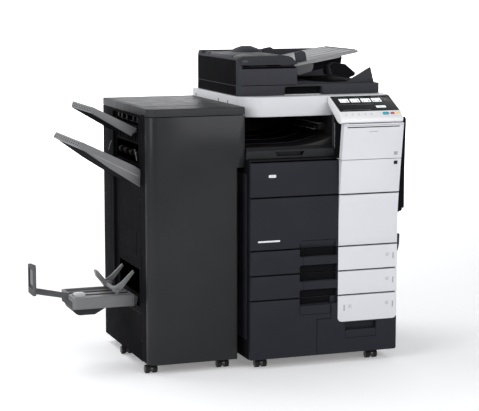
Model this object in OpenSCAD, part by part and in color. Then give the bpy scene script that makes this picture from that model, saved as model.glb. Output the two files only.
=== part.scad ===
// Floor-standing multifunction copier with a document feeder on top and a
// stapling and booklet finisher docked on its left side.
// Model frame: X to the right, Y to the back, Z up from the floor. Shapes are
// written from the main unit's front left corner, and placed() moves them so
// that the origin is under the middle of the whole machine.

/* [Main unit] */
// Width of the main unit
body_w = 650; // [640:1:670]
// Depth of the main unit
body_d = 740; // [730:1:760]
// Height of the underside of the main unit
base_z = 41; // [40:1:44]
// Thickness of doors and drawer fronts
front_t = 22; // [20:1:22]
// Thickness of the outer covers
skin = 3; // [2:0.5:3]
// Width of the dark left-hand part of the front
dark_w = 384; // [380:1:390]

/* [Front bands] */
// Seam between the large bottom drawers and drawer 2
seam_low = 286.5; // [284:0.5:288]
// Seam between drawer 2 and drawer 1
seam_mid = 388.4; // [387:0.1:390]
// Seam between drawer 1 and the lower door
seam_high = 490.8; // [489:0.1:492]
// Seam between the lower and the upper door
seam_door = 706.4; // [704:0.1:708]
// Seam above the upper door
seam_top = 849; // [848:0.5:850]
// Gap that every front leaves at its seams
seam_gap = 2.6; // [2.2:0.1:3]

/* [Scanner and feeder] */
// Underside of the scanner
scan_z = 1023; // [1020:1:1026]
// Top of the scanner
scan_top = 1103; // [1100:1:1106]
// Front plane of the scanner
scan_y = 95; // [90:1:100]
// Radius of the scanner's front left corner
scan_r = 100; // [80:5:105]

/* [Finisher] */
// Left side of the finisher
fin_x = -408.6; // [-412:0.1:-405]
// Height of the finisher's top
fin_top = 1070.2; // [1066:0.1:1074]
// Front plane of the finisher
fin_y = 55.9; // [54:0.1:58]
// Back plane of the finisher
fin_back = 729.9; // [724:0.1:734]
// Seam below the finisher's top cover
fin_seam = 1038.8; // [1036:0.1:1041]

/* [Casters] */
// Radius of every caster wheel
wheel_r = 17.5; // [16:0.5:17.5]
// Trail of the wheel axle behind the swivel axis
trail = 9; // [8:0.5:10]

/* [Hidden] */
$fn = 48;

// Colours
charcoal = "#3b3c3e";
blue_black = "#2e2f33";
inner_black = "#1d1e20";
shell_white = "#dedfe4";
tray_grey = "#77787a";
glass_blue = "#203038";
rubber_black = "#151515";
teal = "#1aa6b7";
signal_red = "#c8453c";

// Front line of the white column: upright low down, leaning forward towards the panel
lean_start = 600;
function lean(z) = z <= lean_start ? 0 : -50 * pow((z - lean_start) / 400, 1.2);

// Extent of the machine, used to place the origin under its middle
side_bulge = 684;
stopper_x = -826;
column_top = 997;
front_y = lean(column_top);
hinge_y = 738;
hinge_lug_r = 14;
hinge_back = hinge_y + hinge_lug_r;
centre_x = (side_bulge + stopper_x) / 2;
centre_y = (front_y + hinge_back) / 2;

// Frame plates
plate = 6;
frame_y = 24;
floor_t = 15;
left_in = skin + plate;
right_in = body_w - skin - plate;
back_in = body_d - skin - plate;
door_shelf = seam_high + 3.2;
toner_shelf = seam_door + 1.6;
deck_z = 851;
deck_top = deck_z + plate;
tower_x = dark_w;
tower_y = 50;

// Drawer rails
rail_z = [120, 318, 420];
rail_y = 40;
rail_w = 12;
rail_h = 14;
partition_x = 290;

// Fronts
half = seam_gap / 2;
bin_x0 = 40;
bin_x1 = 610;
split_high_x = 354;
split_low_x = 292;
split_z = 193;
grip_x = 214;
bar_x = 234;
panel_t = 12;
panel_bottom_4 = 175;

module placed() {
    translate([-centre_x, -centre_y, 0]) children();
}

// A box between two opposite corners
module slab(low, high) {
    translate(low) cube(high - low);
}

// A profile drawn in X and Z, carried from y0 to y1
module along_y(y0, y1) {
    translate([0, y1, 0]) rotate([90, 0, 0]) linear_extrude(y1 - y0) children();
}

// A profile drawn in Y and Z, carried from x0 to x1
module along_x(x0, x1) {
    translate([x0, 0, 0]) rotate([90, 0, 90]) linear_extrude(x1 - x0) children();
}

// A plan drawn in X and Y, carried from z0 to z1
module along_z(z0, z1) {
    translate([0, 0, z0]) linear_extrude(z1 - z0) children();
}

// Points of an arc, from angle a0 to a1 about a centre
function arc(cx, cy, r, a0, a1, steps) =
    [for (i = [0:steps]) [cx + r * cos(a0 + (a1 - a0) * i / steps),
        cy + r * sin(a0 + (a1 - a0) * i / steps)]];

// A rectangle with its own radius at each corner: low left, low right, high right, high left
function rounded(x0, y0, x1, y1, r) = concat(
    r[0] > 0 ? arc(x0 + r[0], y0 + r[0], r[0], 180, 270, 8) : [[x0, y0]],
    r[1] > 0 ? arc(x1 - r[1], y0 + r[1], r[1], 270, 360, 8) : [[x1, y0]],
    r[2] > 0 ? arc(x1 - r[2], y1 - r[2], r[2], 0, 90, 8) : [[x1, y1]],
    r[3] > 0 ? arc(x0 + r[3], y1 - r[3], r[3], 90, 180, 8) : [[x0, y1]]
);

// ---------------------------------------------------------------- main unit

module main_frame() placed() color(inner_black) {
    difference() {
        union() {
            // floor pan and side plates
            slab([skin, frame_y, base_z], [body_w - skin, body_d - skin, base_z + floor_t]);
            slab([skin, frame_y, base_z], [left_in, body_d - skin, deck_top]);
            slab([right_in, frame_y, base_z], [body_w - skin, body_d - skin, seam_top - 2]);
            slab([right_in, tower_y, base_z], [body_w - skin, body_d - skin, scan_z]);
            slab([skin, back_in, base_z], [body_w - skin, body_d - skin, scan_z]);
            // shelves above the drawers, below the toner and below the output tray
            slab([skin, frame_y, door_shelf], [body_w - skin, body_d - skin, door_shelf + plate]);
            slab([skin, frame_y, toner_shelf], [body_w - skin, body_d - skin, toner_shelf + plate]);
            slab([skin, frame_y, deck_z], [tower_x, body_d - skin, deck_top]);
            slab([skin, tower_y, deck_z], [body_w - skin, body_d - skin, deck_top]);
            // tower that carries the scanner, right of and behind the output space
            slab([tower_x, tower_y, deck_z], [tower_x + plate, back_in, scan_z]);
            slab([tower_x, tower_y, deck_z], [body_w - skin, tower_y + plate, scan_z]);
            slab([skin, back_in - 50, deck_z], [tower_x, back_in - 44, scan_z]);
            slab([skin, back_in - 50, deck_z], [left_in, body_d - skin, scan_z]);
            // drawer rails, with a partition between the two bottom drawers
            for (z = rail_z) {
                slab([left_in, rail_y, z], [left_in + rail_w, back_in, z + rail_h]);
                slab([right_in - rail_w, rail_y, z], [right_in, back_in, z + rail_h]);
            }
            slab([partition_x, rail_y, base_z], [partition_x + plate, back_in, 280]);
            slab([partition_x - rail_w, rail_y, rail_z[0]],
                [partition_x + plate + rail_w, back_in, rail_z[0] + rail_h]);
            for (x = caster_main_x) fixed_caster(x, caster_rear_y, base_z);
        }
        for (x = caster_main_x) swivel_bore(x, caster_main_y, base_z);
        along_x(right_in - 1, body_w) translate(lever_pivot) circle(4.05);
    }
}

module left_cover() placed() color(blue_black) {
    slab([0, frame_y, base_z], [skin, body_d, deck_top]);
    slab([0, back_in - 50, deck_top], [skin, body_d, scan_z]);
}

module right_cover() placed() color(charcoal) {
    difference() {
        union() {
            slab([body_w - skin, frame_y, base_z], [body_w, body_d, seam_top - 2]);
            slab([body_w - skin, tower_y, base_z], [body_w, body_d, scan_z]);
        }
        along_x(body_w - skin - 1, body_w + 1) translate(lever_pivot) circle(4.05);
        // ventilation slots
        for (i = [0:7]) slab([body_w - skin - 1, 560, 130 + 16 * i], [body_w + 1, 700, 137 + 16 * i]);
    }
}

module rear_cover() placed() color(charcoal) {
    difference() {
        slab([skin, body_d - skin, base_z], [body_w - skin, body_d, scan_z]);
        for (side = [90, 390]) {
            for (i = [0:9]) {
                slab([side, body_d - skin - 1, 600 + 18 * i], [side + 170, body_d + 1, 608 + 18 * i]);
            }
        }
        // opening for the power inlet
        slab([560, body_d - skin - 1, 90], [600, body_d + 1, 118]);
    }
}

// Height of the output tray's floor at its left side, and its ramp's radius
tray_floor = 905;
ramp_x = 200;
ramp_r = 449;

module output_tray() placed() color(inner_black) {
    ramp = arc(ramp_x, tray_floor + ramp_r, ramp_r, 270, 294, 12);
    along_y(62, back_in - 52) polygon(concat(
        [[left_in, deck_top], [tower_x - 1, deck_top], [tower_x - 1, ramp[len(ramp) - 1][1]]],
        [for (i = [len(ramp) - 1:-1:0]) ramp[i]],
        [[left_in, tray_floor]]
    ));
    // front lip
    along_x(1, tower_x - 1) polygon([[48, 888], [62, 888], [62, 905], [58, 905], [50, 893], [48, 893]]);
}

module output_tray_cover() placed() color(charcoal) {
    along_y(45, 48) difference() {
        square_at([1, 859], [tower_x - 1, 892]);
        polygon([[122, 885], [250, 885], [241, 868], [131, 868]]);
    }
    slab([1, 48, deck_top], [tower_x - 1, 61.5, 868]);
    slab([1, 48, 868], [116, 61.5, 887.5]);
    slab([256, 48, 868], [tower_x - 1, 61.5, 887.5]);
}

module square_at(low, high) {
    translate(low) square(high - low);
}

module exit_unit() placed() color(charcoal) {
    difference() {
        along_y(147, 430) polygon([[352, 981], [tower_x, 988], [tower_x, 955], [352, 959]]);
        slab([346, 160, 966], [378, 415, 972]);
    }
}

module scan_plan(inset) {
    polygon(rounded(inset, scan_y + inset, body_w - inset, body_d - inset,
        [scan_r - inset, 24 - inset, 0, 0]));
}

glass_x0 = 60;
glass_x1 = 500;
glass_y0 = 190;
glass_y1 = 500;
hinge_x = [96, 554];
hinge_z = 1121;
hinge_w = 34;

module scanner_housing() placed() color(shell_white) {
    difference() {
        union() {
            along_z(scan_z + 5, scan_top) scan_plan(0);
            along_z(scan_z, scan_z + 5) scan_plan(2.5);
            for (x = hinge_x) {
                slab([x - hinge_w / 2 - 10, hinge_y - 14, scan_top - 1],
                    [x - hinge_w / 2 - 0.4, body_d, hinge_z]);
                slab([x + hinge_w / 2 + 0.4, hinge_y - 14, scan_top - 1],
                    [x + hinge_w / 2 + 10, body_d, hinge_z]);
                along_x(x - hinge_w / 2 - 10, x - hinge_w / 2 - 0.4) translate([hinge_y, hinge_z])
                    circle(hinge_lug_r);
                along_x(x + hinge_w / 2 + 0.4, x + hinge_w / 2 + 10) translate([hinge_y, hinge_z])
                    circle(hinge_lug_r);
            }
        }
        // space for the carriage
        slab([25, 150, scan_z + 8], [620, 700, scan_top - 6]);
        // window for the glass, with a ledge around it
        slab([glass_x0, glass_y0, scan_top - 4], [glass_x1, glass_y1, scan_top + 1]);
        slab([glass_x0 + 8, glass_y0 + 8, scan_top - 8], [glass_x1 - 8, glass_y1 - 8, scan_top]);
        // slit for the moving original
        slab([30, glass_y0, scan_top - 8], [46, glass_y1, scan_top + 1]);
        for (x = hinge_x) {
            along_x(x - hinge_w, x + hinge_w) translate([hinge_y, hinge_z]) circle(5.05);
        }
        // small slots in the left side
        for (y = [276, 330, 640]) slab([-1, y, scan_z + 22], [4, y + 14, scan_z + 36]);
        // vertical joint line on the left side
        slab([-1, 199, scan_z + 4], [0.6, 200.2, scan_top + 1]);
    }
    // rails that carry the carriage
    for (y = [carriage_y0, carriage_y1 - 16]) slab([25, y, scan_z + 7], [620, y + 16, scan_z + 11.6]);
}

module platen_glass() placed() color(glass_blue, 0.5) {
    slab([glass_x0 + 0.2, glass_y0 + 0.2, scan_top - 4], [glass_x1 - 0.2, glass_y1 - 0.2, scan_top]);
}

carriage_y0 = 165;
carriage_y1 = 685;

module scan_carriage() placed() color(inner_black) {
    difference() {
        slab([60, carriage_y0, scan_z + 12], [110, carriage_y1, scan_z + 48]);
        slab([80, carriage_y0 + 20, scan_z + 30], [90, carriage_y1 - 20, scan_z + 50]);
    }
}

function column_profile(z0, z1, back) = concat(
    [[back, z0]],
    [for (i = [0:6]) [lean(z0 + (z1 - z0) * i / 6), z0 + (z1 - z0) * i / 6]],
    [[back, z1]]
);

module column_cover() placed() color(shell_white) {
    top = column_top;
    inner = 3.5;
    difference() {
        along_x(dark_w, body_w - 0.5) polygon(column_profile(seam_top + half, top, tower_y));
        along_x(dark_w + inner, body_w - 0.5 - inner) polygon([
            [lean(seam_top + 8) + inner + 1, seam_top + 6], [lean(top - 8) + inner + 2, top - 8],
            [tower_y + 1, top - 8], [tower_y + 1, seam_top + 6]
        ]);
        // key-card slot near the top
        slab([400, lean(985) - 6, 981], [632, lean(985) + 12, 985]);
    }
    // prop that the panel rests on
    along_x(440, 580) polygon([[10, top - 4], [46, top - 4], [46, 1041], [10, 1017]]);
    // ears that the panel tilts on
    for (x = panel_ears) difference() {
        along_x(x, x + ear_w) union() {
            translate(tilt_axis) circle(8);
            square_at([tilt_axis[0] - 4, top - 4], [tilt_axis[0] + 4, tilt_axis[1]]);
        }
        along_x(x - 1, x + ear_w + 1) translate(tilt_axis) circle(3.05);
    }
}

panel_ears = [400, 600];
ear_w = 10;

module fuser_unit() placed() color(charcoal) {
    floor_z = door_shelf + plate;
    difference() {
        slab([430, 60, floor_z], [630, 640, 690]);
        slab([420, 72, floor_z + 14], [616, 628, 676]);
    }
    for (z = [575, 635]) {
        along_y(90, 610) translate([530, z]) circle(29.9);
        along_y(70, 630) translate([530, z]) circle(8);
    }
}

module drum_unit() placed() color(teal) {
    pitch = 94;
    base_top = 556;
    for (i = [0:3]) {
        along_y(60, 640) translate([66 + pitch * i, 640]) circle(30);
        slab([32 + pitch * i, 60, base_top - 1], [100 + pitch * i, 640, 611]);
    }
    slab([26, 60, door_shelf + plate], [400, 640, base_top]);
}

module toner_bottles() placed() color(shell_white) {
    bottle_r = 50;
    for (i = [0:3]) {
        axis = [80 + 120 * i, toner_shelf + plate + bottle_r];
        along_y(50, 620) translate(axis) circle(bottle_r);
        along_y(38, 50) translate(axis) circle(28);
    }
}

// ------------------------------------------------------------------- fronts

module upper_door() placed() color(blue_black) {
    top = seam_top - 1;
    low = seam_door + half;
    difference() {
        union() {
            along_x(1, dark_w - 0.5) polygon(concat(
                arc(4, low + 4, 4, 180, 270, 4), [[front_t, low], [front_t, top - 4]],
                [[6, top]], arc(5, top - 5, 5, 90, 180, 4)
            ));
            along_x(dark_w - 0.5, body_w - 1) polygon([[panel_t, low], [front_t, low], [front_t, top - 4],
                [panel_t, top - 2.5]]);
        }
        // rounded left edge
        translate([0, 0, low - 1]) difference() {
            slab([0, -1, 0], [9, 8, top - low + 2]);
            translate([9, 8, -1]) cylinder(r = 8, h = top - low + 4);
        }
    }
}

module upper_door_panel() placed() color(shell_white) {
    along_x(dark_w, body_w - 1) polygon(column_profile(seam_door + half + 1, seam_top - 1.2, panel_t));
}

module lower_door() placed() color(blue_black) {
    low = seam_high + half;
    top = seam_door - half;
    lip = 30;
    difference() {
        union() {
            along_x(1, dark_w - 0.5) polygon(concat(
                arc(4, low + 4, 4, 180, 270, 4), [[front_t, low],
                    [front_t, top]], arc(4, top - 4, 4, 90, 180, 4)
            ));
            along_x(dark_w - 0.5, body_w - 1) polygon([[panel_t, low], [front_t, low], [front_t, top],
                [panel_t, top]]);
        }
        // pull lip, cut back below
        along_x(grip_x, dark_w - 12) polygon([[-1, low - 1], [14, low - 1], [0, low + lip], [-1, low + lip]]);
        translate([0, 0, low - 1]) difference() {
            slab([0, -1, 0], [9, 8, top - low + 2]);
            translate([9, 8, -1]) cylinder(r = 8, h = top - low + 4);
        }
    }
}

module lower_door_panel() placed() color(shell_white) {
    along_x(dark_w, body_w - 1) polygon(column_profile(seam_high + half + 1, seam_door - half - 1, panel_t));
}

// Open box of a paper drawer with its bottom plate raised for the stack
module bin(x0, x1, z0, z1) {
    wall = 3;
    depth = 500;
    difference() {
        slab([x0, front_t, z0], [x1, front_t + depth, z1]);
        slab([x0 + wall, front_t + wall, z0 + wall], [x1 - wall, front_t + depth - wall, z1 + 1]);
    }
}

// Runner that slides on a rail of the frame
module runner(x0, x1, z) {
    slab([x0, front_t, z + rail_h + 0.5], [x1, front_t + 500, z + rail_h + 10]);
}

// Front of a 500-sheet drawer, with a hand recess that a grip bar crosses
module drawer_front(low, high) {
    bar_low = low + 31;
    bar_high = bar_low + 35;
    floor_y = 19;
    difference() {
        union() {
            slab([1, 0, low], [dark_w - 0.5, front_t, high]);
            slab([dark_w - 0.5, panel_t, low], [body_w - 1, front_t, high]);
        }
        along_y(-1, floor_y) polygon(rounded(grip_x, low - 1, dark_w - 4, bar_low + 1, [0, 0, 0, 9]));
        along_y(-1, floor_y) polygon(rounded(grip_x, bar_high - 1, dark_w - 4, high + 1, [9, 0, 0, 0]));
        slab([bar_x - 8, 5, bar_low + 5], [dark_w - 4, floor_y, bar_high + 3]);
        translate([0, 0, low - 1]) difference() {
            slab([0, -1, 0], [9, 8, high - low + 2]);
            translate([9, 8, -1]) cylinder(r = 8, h = high - low + 4);
        }
    }
}

module drawer_panel(low, high, r) {
    along_y(0, panel_t) polygon(rounded(dark_w, low, body_w - 1, high, r));
}

module drawer_1() placed() color(blue_black) {
    drawer_front(seam_mid + half, seam_high - half);
    bin(bin_x0, bin_x1, seam_mid + 10, seam_mid + 80);
    runner(left_in + 3, bin_x0, rail_z[2]);
    runner(bin_x1, right_in - 3, rail_z[2]);
}

module drawer_2() placed() color(blue_black) {
    drawer_front(seam_low + half, seam_mid - half);
    bin(bin_x0, bin_x1, seam_low + 10, seam_low + 80);
    runner(left_in + 3, bin_x0, rail_z[1]);
    runner(bin_x1, right_in - 3, rail_z[1]);
}

module drawer_1_panel() placed() color(shell_white) {
    drawer_panel(seam_mid + half + 1, seam_high - half - 1, [3, 3, 3, 3]);
}

module drawer_2_panel() placed() color(shell_white) {
    drawer_panel(seam_low + half + 1, seam_mid - half - 1, [3, 3, 3, 3]);
}

base_front_z = base_z + 2;

module drawer_3() placed() color(blue_black) {
    high = seam_low - half;
    difference() {
        union() {
            slab([1, 0, base_front_z], [split_low_x - half, front_t, high]);
            slab([split_low_x - 3, 0, split_z + half], [split_high_x - half, front_t, high]);
        }
        // hand recess and the gap behind its lower lip
        along_y(-1, 19) polygon([[grip_x, 256], [split_high_x, 256], [split_high_x, high + 1],
            [grip_x, high + 1]]);
        slab([grip_x + 8, 5, 232], [split_high_x, 19, 257]);
        translate([0, 0, base_front_z - 1]) difference() {
            slab([0, -1, 0], [9, 8, high - base_front_z + 2]);
            translate([9, 8, -1]) cylinder(r = 8, h = high - base_front_z + 4);
        }
    }
    bin(bin_x0, 258, 64, 262);
    runner(left_in + 3, bin_x0, rail_z[0]);
    runner(258, partition_x - 3, rail_z[0]);
}

module drawer_4() placed() color(blue_black) {
    high = seam_low - half;
    right = body_w - 1;
    difference() {
        union() {
            along_y(0, front_t) polygon(rounded(split_low_x + half, base_front_z, right, split_z - half,
                [0, 8, 0, 0]));
            slab([split_high_x + half, 0, split_z - 3], [dark_w - 0.5, front_t, high]);
            slab([dark_w - 0.5, panel_t, split_z - 3], [right, front_t, high]);
        }
        // bed for the white panel
        along_y(-1, panel_t) polygon(rounded(dark_w - 0.5, panel_bottom_4 - 1, right + 1, high,
            [18, 18, 0, 0]));
        // upper hand recess, shared with the drawer beside it
        slab([split_high_x, -1, 256], [dark_w - 4, 19, high + 1]);
        slab([split_high_x, 5, 232], [dark_w - 4, 19, 257]);
        // lower hand recess and the gap behind its lip
        along_y(-1, 19) polygon([[417, 140], [557, 140], [557, 170], [417, 170]]);
        slab([423, 5, 116], [551, 19, 141]);
    }
    bin(362, bin_x1, 64, 262);
    runner(partition_x + plate + 3, 362, rail_z[0]);
    runner(bin_x1, right_in - 3, rail_z[0]);
}

module drawer_4_panel() placed() color(shell_white) {
    along_y(0, panel_t) polygon(rounded(dark_w, panel_bottom_4, body_w - 1, seam_low - half - 1,
        [18, 18, 3, 3]));
}

// ---------------------------------------------------------- operation panel

panel_x0 = 371;
panel_x1 = 646;
panel_back = [93, 1100.5];
panel_nose = [-22, 1045];
panel_slope = atan2(panel_back[1] - panel_nose[1], panel_back[0] - panel_nose[0]);
// The nose is round about the axis that the panel tilts on
tilt_axis = [-34, 1013];
nose_r = 14;
nose_start = [tilt_axis[0] + nose_r * cos(120), tilt_axis[1] + nose_r * sin(120)];
key_tilt = atan2(panel_nose[1] - nose_start[1], panel_nose[0] - nose_start[0]);
key_centre = (panel_nose + nose_start) / 2;
// Centre, end radius and half length of each pill-shaped key
start_pill = [575, 6, 8];
stop_pill = [605, 4, 4.5];
key_gap = 0.3;

// Puts children on the nose, whose local z points out of it
module on_nose(x) {
    translate([x, key_centre[0], key_centre[1]]) rotate([key_tilt, 0, 0]) children();
}

module panel_housing() placed() color(shell_white) {
    along = [panel_back[0] - panel_nose[0], panel_back[1] - panel_nose[1]];
    difference() {
        along_x(panel_x0, panel_x1) polygon(concat(
            [panel_back, panel_nose],
            arc(tilt_axis[0], tilt_axis[1], nose_r, 120, 270, 10),
            [[-8, 1006], [76, 1062], [93, 1076]]
        ));
        // bed for the screen
        translate([panel_x0 + 8, panel_nose[0], panel_nose[1]]) rotate([panel_slope, 0, 0])
            translate([0, 2, -3]) cube([panel_x1 - panel_x0 - 14, norm(along) - 6, 10]);
        for (p = [start_pill, stop_pill]) key(p, key_gap, -5, 12);
        // slots for the column's ears, wide enough for the tilt
        for (x = panel_ears) along_x(x - 0.6, x + ear_w + 0.6) union() {
            translate(tilt_axis) circle(8.6);
            polygon([[-29.5, 1013], [-29.5, 990], [-47, 990], [-47, 997], [-38.8, 1015]]);
        }
    }
    for (x = panel_ears) along_x(x - 4, x + ear_w + 4) translate(tilt_axis) circle(3);
}

module touch_screen() placed() color("#0c0f10") {
    along = norm([panel_back[0] - panel_nose[0], panel_back[1] - panel_nose[1]]);
    translate([panel_x0 + 8.2, panel_nose[0], panel_nose[1]]) rotate([panel_slope, 0, 0])
        translate([0, 2.2, -3]) cube([panel_x1 - panel_x0 - 14.4, along - 6.4, 3.2]);
}

// A pill with a margin all round, from a height below the nose's surface upwards
module key(pill, margin, low, height) {
    r = pill[1] + margin;
    on_nose(pill[0]) translate([0, 0, low]) {
        for (side = [-1, 1]) translate([side * pill[2], 0, 0]) cylinder(r = r, h = height);
        translate([-pill[2], -r, 0]) cube([2 * pill[2], 2 * r, height]);
    }
}

module start_key() placed() color(teal) {
    key(start_pill, 0, -3.4, 6.0);
}

module stop_key() placed() color(signal_red) {
    key(stop_pill, 0, -3.4, 6.0);
}

// ------------------------------------------------------------------- feeder

feed_x0 = 4;
feed_x1 = 634;
feed_y0 = 165;
feed_y1 = 690;
feed_low = 1105;
feed_seam = 1146;
block_x1 = 264;
cover_low = 1229;
feed_top = 1264;

module feeder_base() placed() color(charcoal) {
    difference() {
        union() {
            along_z(feed_low, feed_seam) polygon(rounded(feed_x0, feed_y0, feed_x1, feed_y1, [16, 5, 5, 16]));
            // hinge arms and barrels
            for (x = hinge_x) {
                slab([x - hinge_w / 2, feed_y1 - 2, hinge_z - 10], [x + hinge_w / 2, hinge_y, hinge_z + 12]);
                along_x(x - hinge_w / 2, x + hinge_w / 2) translate([hinge_y, hinge_z]) circle(12);
            }
        }
        // hand recess in the front edge
        along_y(feed_y0 - 1, feed_y0 + 26) polygon(rounded(210, feed_low - 1, 378, 1139, [0, 0, 10, 10]));
    }
    for (x = hinge_x) {
        along_x(x - hinge_w / 2 - 9, x + hinge_w / 2 + 9) translate([hinge_y, hinge_z]) circle(5);
    }
}

cover_hinge = [34, 1244.4];
cover_barrel = 21.6;
cover_ears = [262, 560];
ear_t = 12;
housing_y = 636;
housing_x1 = 612;

module feeder_body() placed() color(charcoal) {
    difference() {
        union() {
            along_z(feed_seam, cover_low - 7) polygon(
                rounded(feed_x0, feed_y0, block_x1, feed_y1, [16, 0, 0, 16]));
            // rail along the left side, hollowed for the cover's round edge
            intersection() {
                along_z(feed_seam, cover_low + 40) polygon(
                    rounded(feed_x0, feed_y0, block_x1, feed_y1, [16, 0, 0, 16]));
                along_y(feed_y0, feed_y1) polygon([
                    [feed_x0, feed_seam], [30, feed_seam], [30, 1258], [9, 1258], [feed_x0, 1253]
                ]);
            }
            // housing along the back, over the whole width
            intersection() {
                along_z(feed_seam, 1275) polygon(
                    rounded(feed_x0 + 4, housing_y, housing_x1, feed_y1, [0, 0, 14, 10]));
                along_x(feed_x0, housing_x1) polygon([
                    [housing_y, feed_seam], [feed_y1, feed_seam], [feed_y1, 1258], [feed_y1 - 9, 1269],
                    [housing_y + 8, 1272], [housing_y, 1269]
                ]);
            }
        }
        along_y(feed_y0 - 1, housing_y) translate(cover_hinge) circle(cover_barrel + 0.6);
        // paper path under the rollers, open to the right
        slab([150, 200, 1196], [block_x1 + 1, housing_y, cover_low]);
        slab([200, 200, 1160], [block_x1 + 1, housing_y, 1186]);
        along_y(189, 651) translate([roller_x, roller_z]) circle(3.05);
    }
    // posts that close the gap under the cover
    slab([64, 190, cover_low - 8], [140, 620, cover_low - 0.5]);
    // ears that the cover turns on
    for (y = cover_ears) difference() {
        along_y(y, y + ear_t) union() {
            translate(cover_hinge) circle(9);
            polygon([[26, 1220], [42, 1220], [42, 1244], [26, 1244]]);
        }
        along_y(y - 1, y + ear_t + 1) translate(cover_hinge) circle(3.05);
    }
    // exit stopper at the right end and its lower tray surface
    along_y(196, 206) polygon([[494, feed_seam + 2], [624, feed_seam], [607, 1210]]);
    along_y(196, 637) polygon([[262, feed_seam], [612, feed_seam], [612, 1152], [440, 1149], [262, 1159]]);
    // ears that the input tray folds up on
    for (y = tray_ears) difference() {
        along_y(y, y + 8) union() {
            translate(tray_hinge) circle(7);
            polygon([[256, 1187], [264, 1187], [283, 1216], [270, 1223], [256, 1195]]);
        }
        along_y(y - 1, y + 9) translate(tray_hinge) circle(3.05);
    }
    // deep arm that supports the input tray, and the stop plate below it
    along_y(250, 570) polygon([[260, 1187], [260, 1214], [292, 1221], [496, 1258.5], [500, 1250],
        [496, 1226], [430, 1206], [330, 1189]]);
    along_y(214, 300) polygon([[446, 1232], [500, 1224], [546, 1187], [543, 1176], [511, 1163],
        [440, 1178], [428, 1220]]);
}

module feeder_cover() placed() color(charcoal) {
    nose = arc(214, 1216, 50, 90, 20, 10);
    difference() {
        union() {
            intersection() {
                along_z(cover_low - 12, feed_top + 10) polygon(
                    rounded(feed_x0, feed_y0, block_x1 + 10, housing_y - 1, [16, 0, 0, 0]));
                along_y(feed_y0, housing_y - 1) polygon(concat(
                    arc(cover_hinge[0], cover_hinge[1], cover_barrel, 225, 90, 12), nose, [[block_x1 - 1,
                        cover_low]]
                ));
            }
            // low dome over the separation rollers
            translate([184, 560, feed_top]) cylinder(r1 = 70, r2 = 62, h = 9);
            translate([184, 560, feed_top + 8.5]) cylinder(r1 = 62, r2 = 46, h = 9);
            translate([184, 560, feed_top + 17]) cylinder(r1 = 46, r2 = 22, h = 9);
            translate([184, 560, 1244]) cylinder(r = 62, h = 22);
        }
        // hollow for the rollers
        slab([64, 185, cover_low - 1], [250, 622, 1246]);
        // room for the hinge ears
        for (y = cover_ears) {
            slab([0, y - 0.6, 1200], [cover_hinge[0] + 10, y + ear_t + 0.6, 1300]);
            slab([0, y - 0.6, 1200], [66, y + ear_t + 0.6, cover_hinge[1] - 2]);
        }
    }
    for (y = cover_ears) along_y(y - 4, y + ear_t + 4) translate(cover_hinge) circle(3);
}

tray_hinge = [276, 1222];
tray_slope = 10;
tray_ears = [213, 590];

module on_tray() {
    translate([tray_hinge[0], 0, tray_hinge[1]]) rotate([0, -tray_slope, 0]) children();
}

tray_y0 = 212;
tray_y1 = 600;

module feeder_tray() placed() color(tray_grey) {
    difference() {
        on_tray() union() {
            translate([0, tray_y0, 0]) linear_extrude(9)
                polygon(rounded(9, 0, 294, tray_y1 - tray_y0, [0, 26, 26, 0]));
            // side cheek under the near edge
            along_y(tray_y0 - 8, tray_y0) polygon([[-6, -2], [68, -2], [76, -10], [70, -28], [60, -36],
                [6, -41], [-2, -36]]);
            along_y(tray_y0 - 8, tray_y0 + 0.5) square_at([0, -4], [200, 6]);
            along_y(tray_y0 - 8, tray_y0) circle(7);
            along_y(tray_y1 - 0.5, tray_y1 + 6) square_at([0, 0], [60, 6]);
            along_y(tray_y1, tray_y1 + 6) circle(7);
            along_y(tray_y0 - 1, tray_y0 + 9.5) circle(3);
            along_y(tray_y1 - 10.5, tray_y1 + 1) circle(3);
        }
        // slots that the two guides run in
        on_tray() for (y = [226, 436]) slab([26, y, -1], [34, y + 150, 10]);
    }
}

// A document guide: upright plate, foot and the tenon that runs in its slot.
// The foot points towards the middle of the tray, which inward says.
module guide(plate_y, inward) {
    foot_y = inward > 0 ? plate_y + 5 : plate_y - 27;
    tenon_y = inward > 0 ? plate_y + 16 : plate_y - 19;
    on_tray() {
        along_y(plate_y, plate_y + 5) polygon(rounded(6, 9.3, 54, 54, [0, 0, 18, 4]));
        slab([6, foot_y, 9.3], [54, foot_y + 27, 12]);
        slab([26.5, tenon_y, 1], [33.5, tenon_y + 8, 9.4]);
    }
}

module guide_front() placed() color(charcoal) {
    guide(216, 1);
}

module guide_rear() placed() color(charcoal) {
    guide(591, -1);
}

roller_x = 232;
roller_z = 1212;

module feed_roller() placed() color(rubber_black) {
    for (y = [300, 400, 500]) along_y(y, y + 26) translate([roller_x, roller_z]) circle(12);
    along_y(190.5, 649.5) translate([roller_x, roller_z]) circle(3);
}

// ---------------------------------------------------------------- side unit

side_y0 = 4;
side_y1 = 520;
side_z0 = 620;
side_z1 = 1015;
bypass_axis = [669, 652];
lever_pivot = [34, 468];

module side_unit() placed() color(charcoal) {
    difference() {
        along_y(side_y0, side_y1) polygon([
            [body_w, side_z0], [668, side_z0 + 6], [side_bulge - 8, side_z0 + 30],
            [side_bulge, side_z1 - 8], [side_bulge - 6, side_z1], [body_w, side_z1]
        ]);
        // recess that the bypass tray folds into
        along_y(40, 480) polygon([[661, 644], [700, 644], [700, 1000], [661, 1000]]);
        along_y(31, 489) translate(bypass_axis) circle(4.05);
    }
}

module bypass_tray() placed() color(charcoal) {
    difference() {
        along_y(40.6, 479.4) polygon([[665, 646.5], [674, 647], [682.5, 990], [679, 998.5], [665, 998.5]]);
        // finger notch in the top edge
        slab([672, 220, 975], [700, 300, 1001]);
    }
    along_y(32, 488) translate(bypass_axis) circle(4);
}

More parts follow.
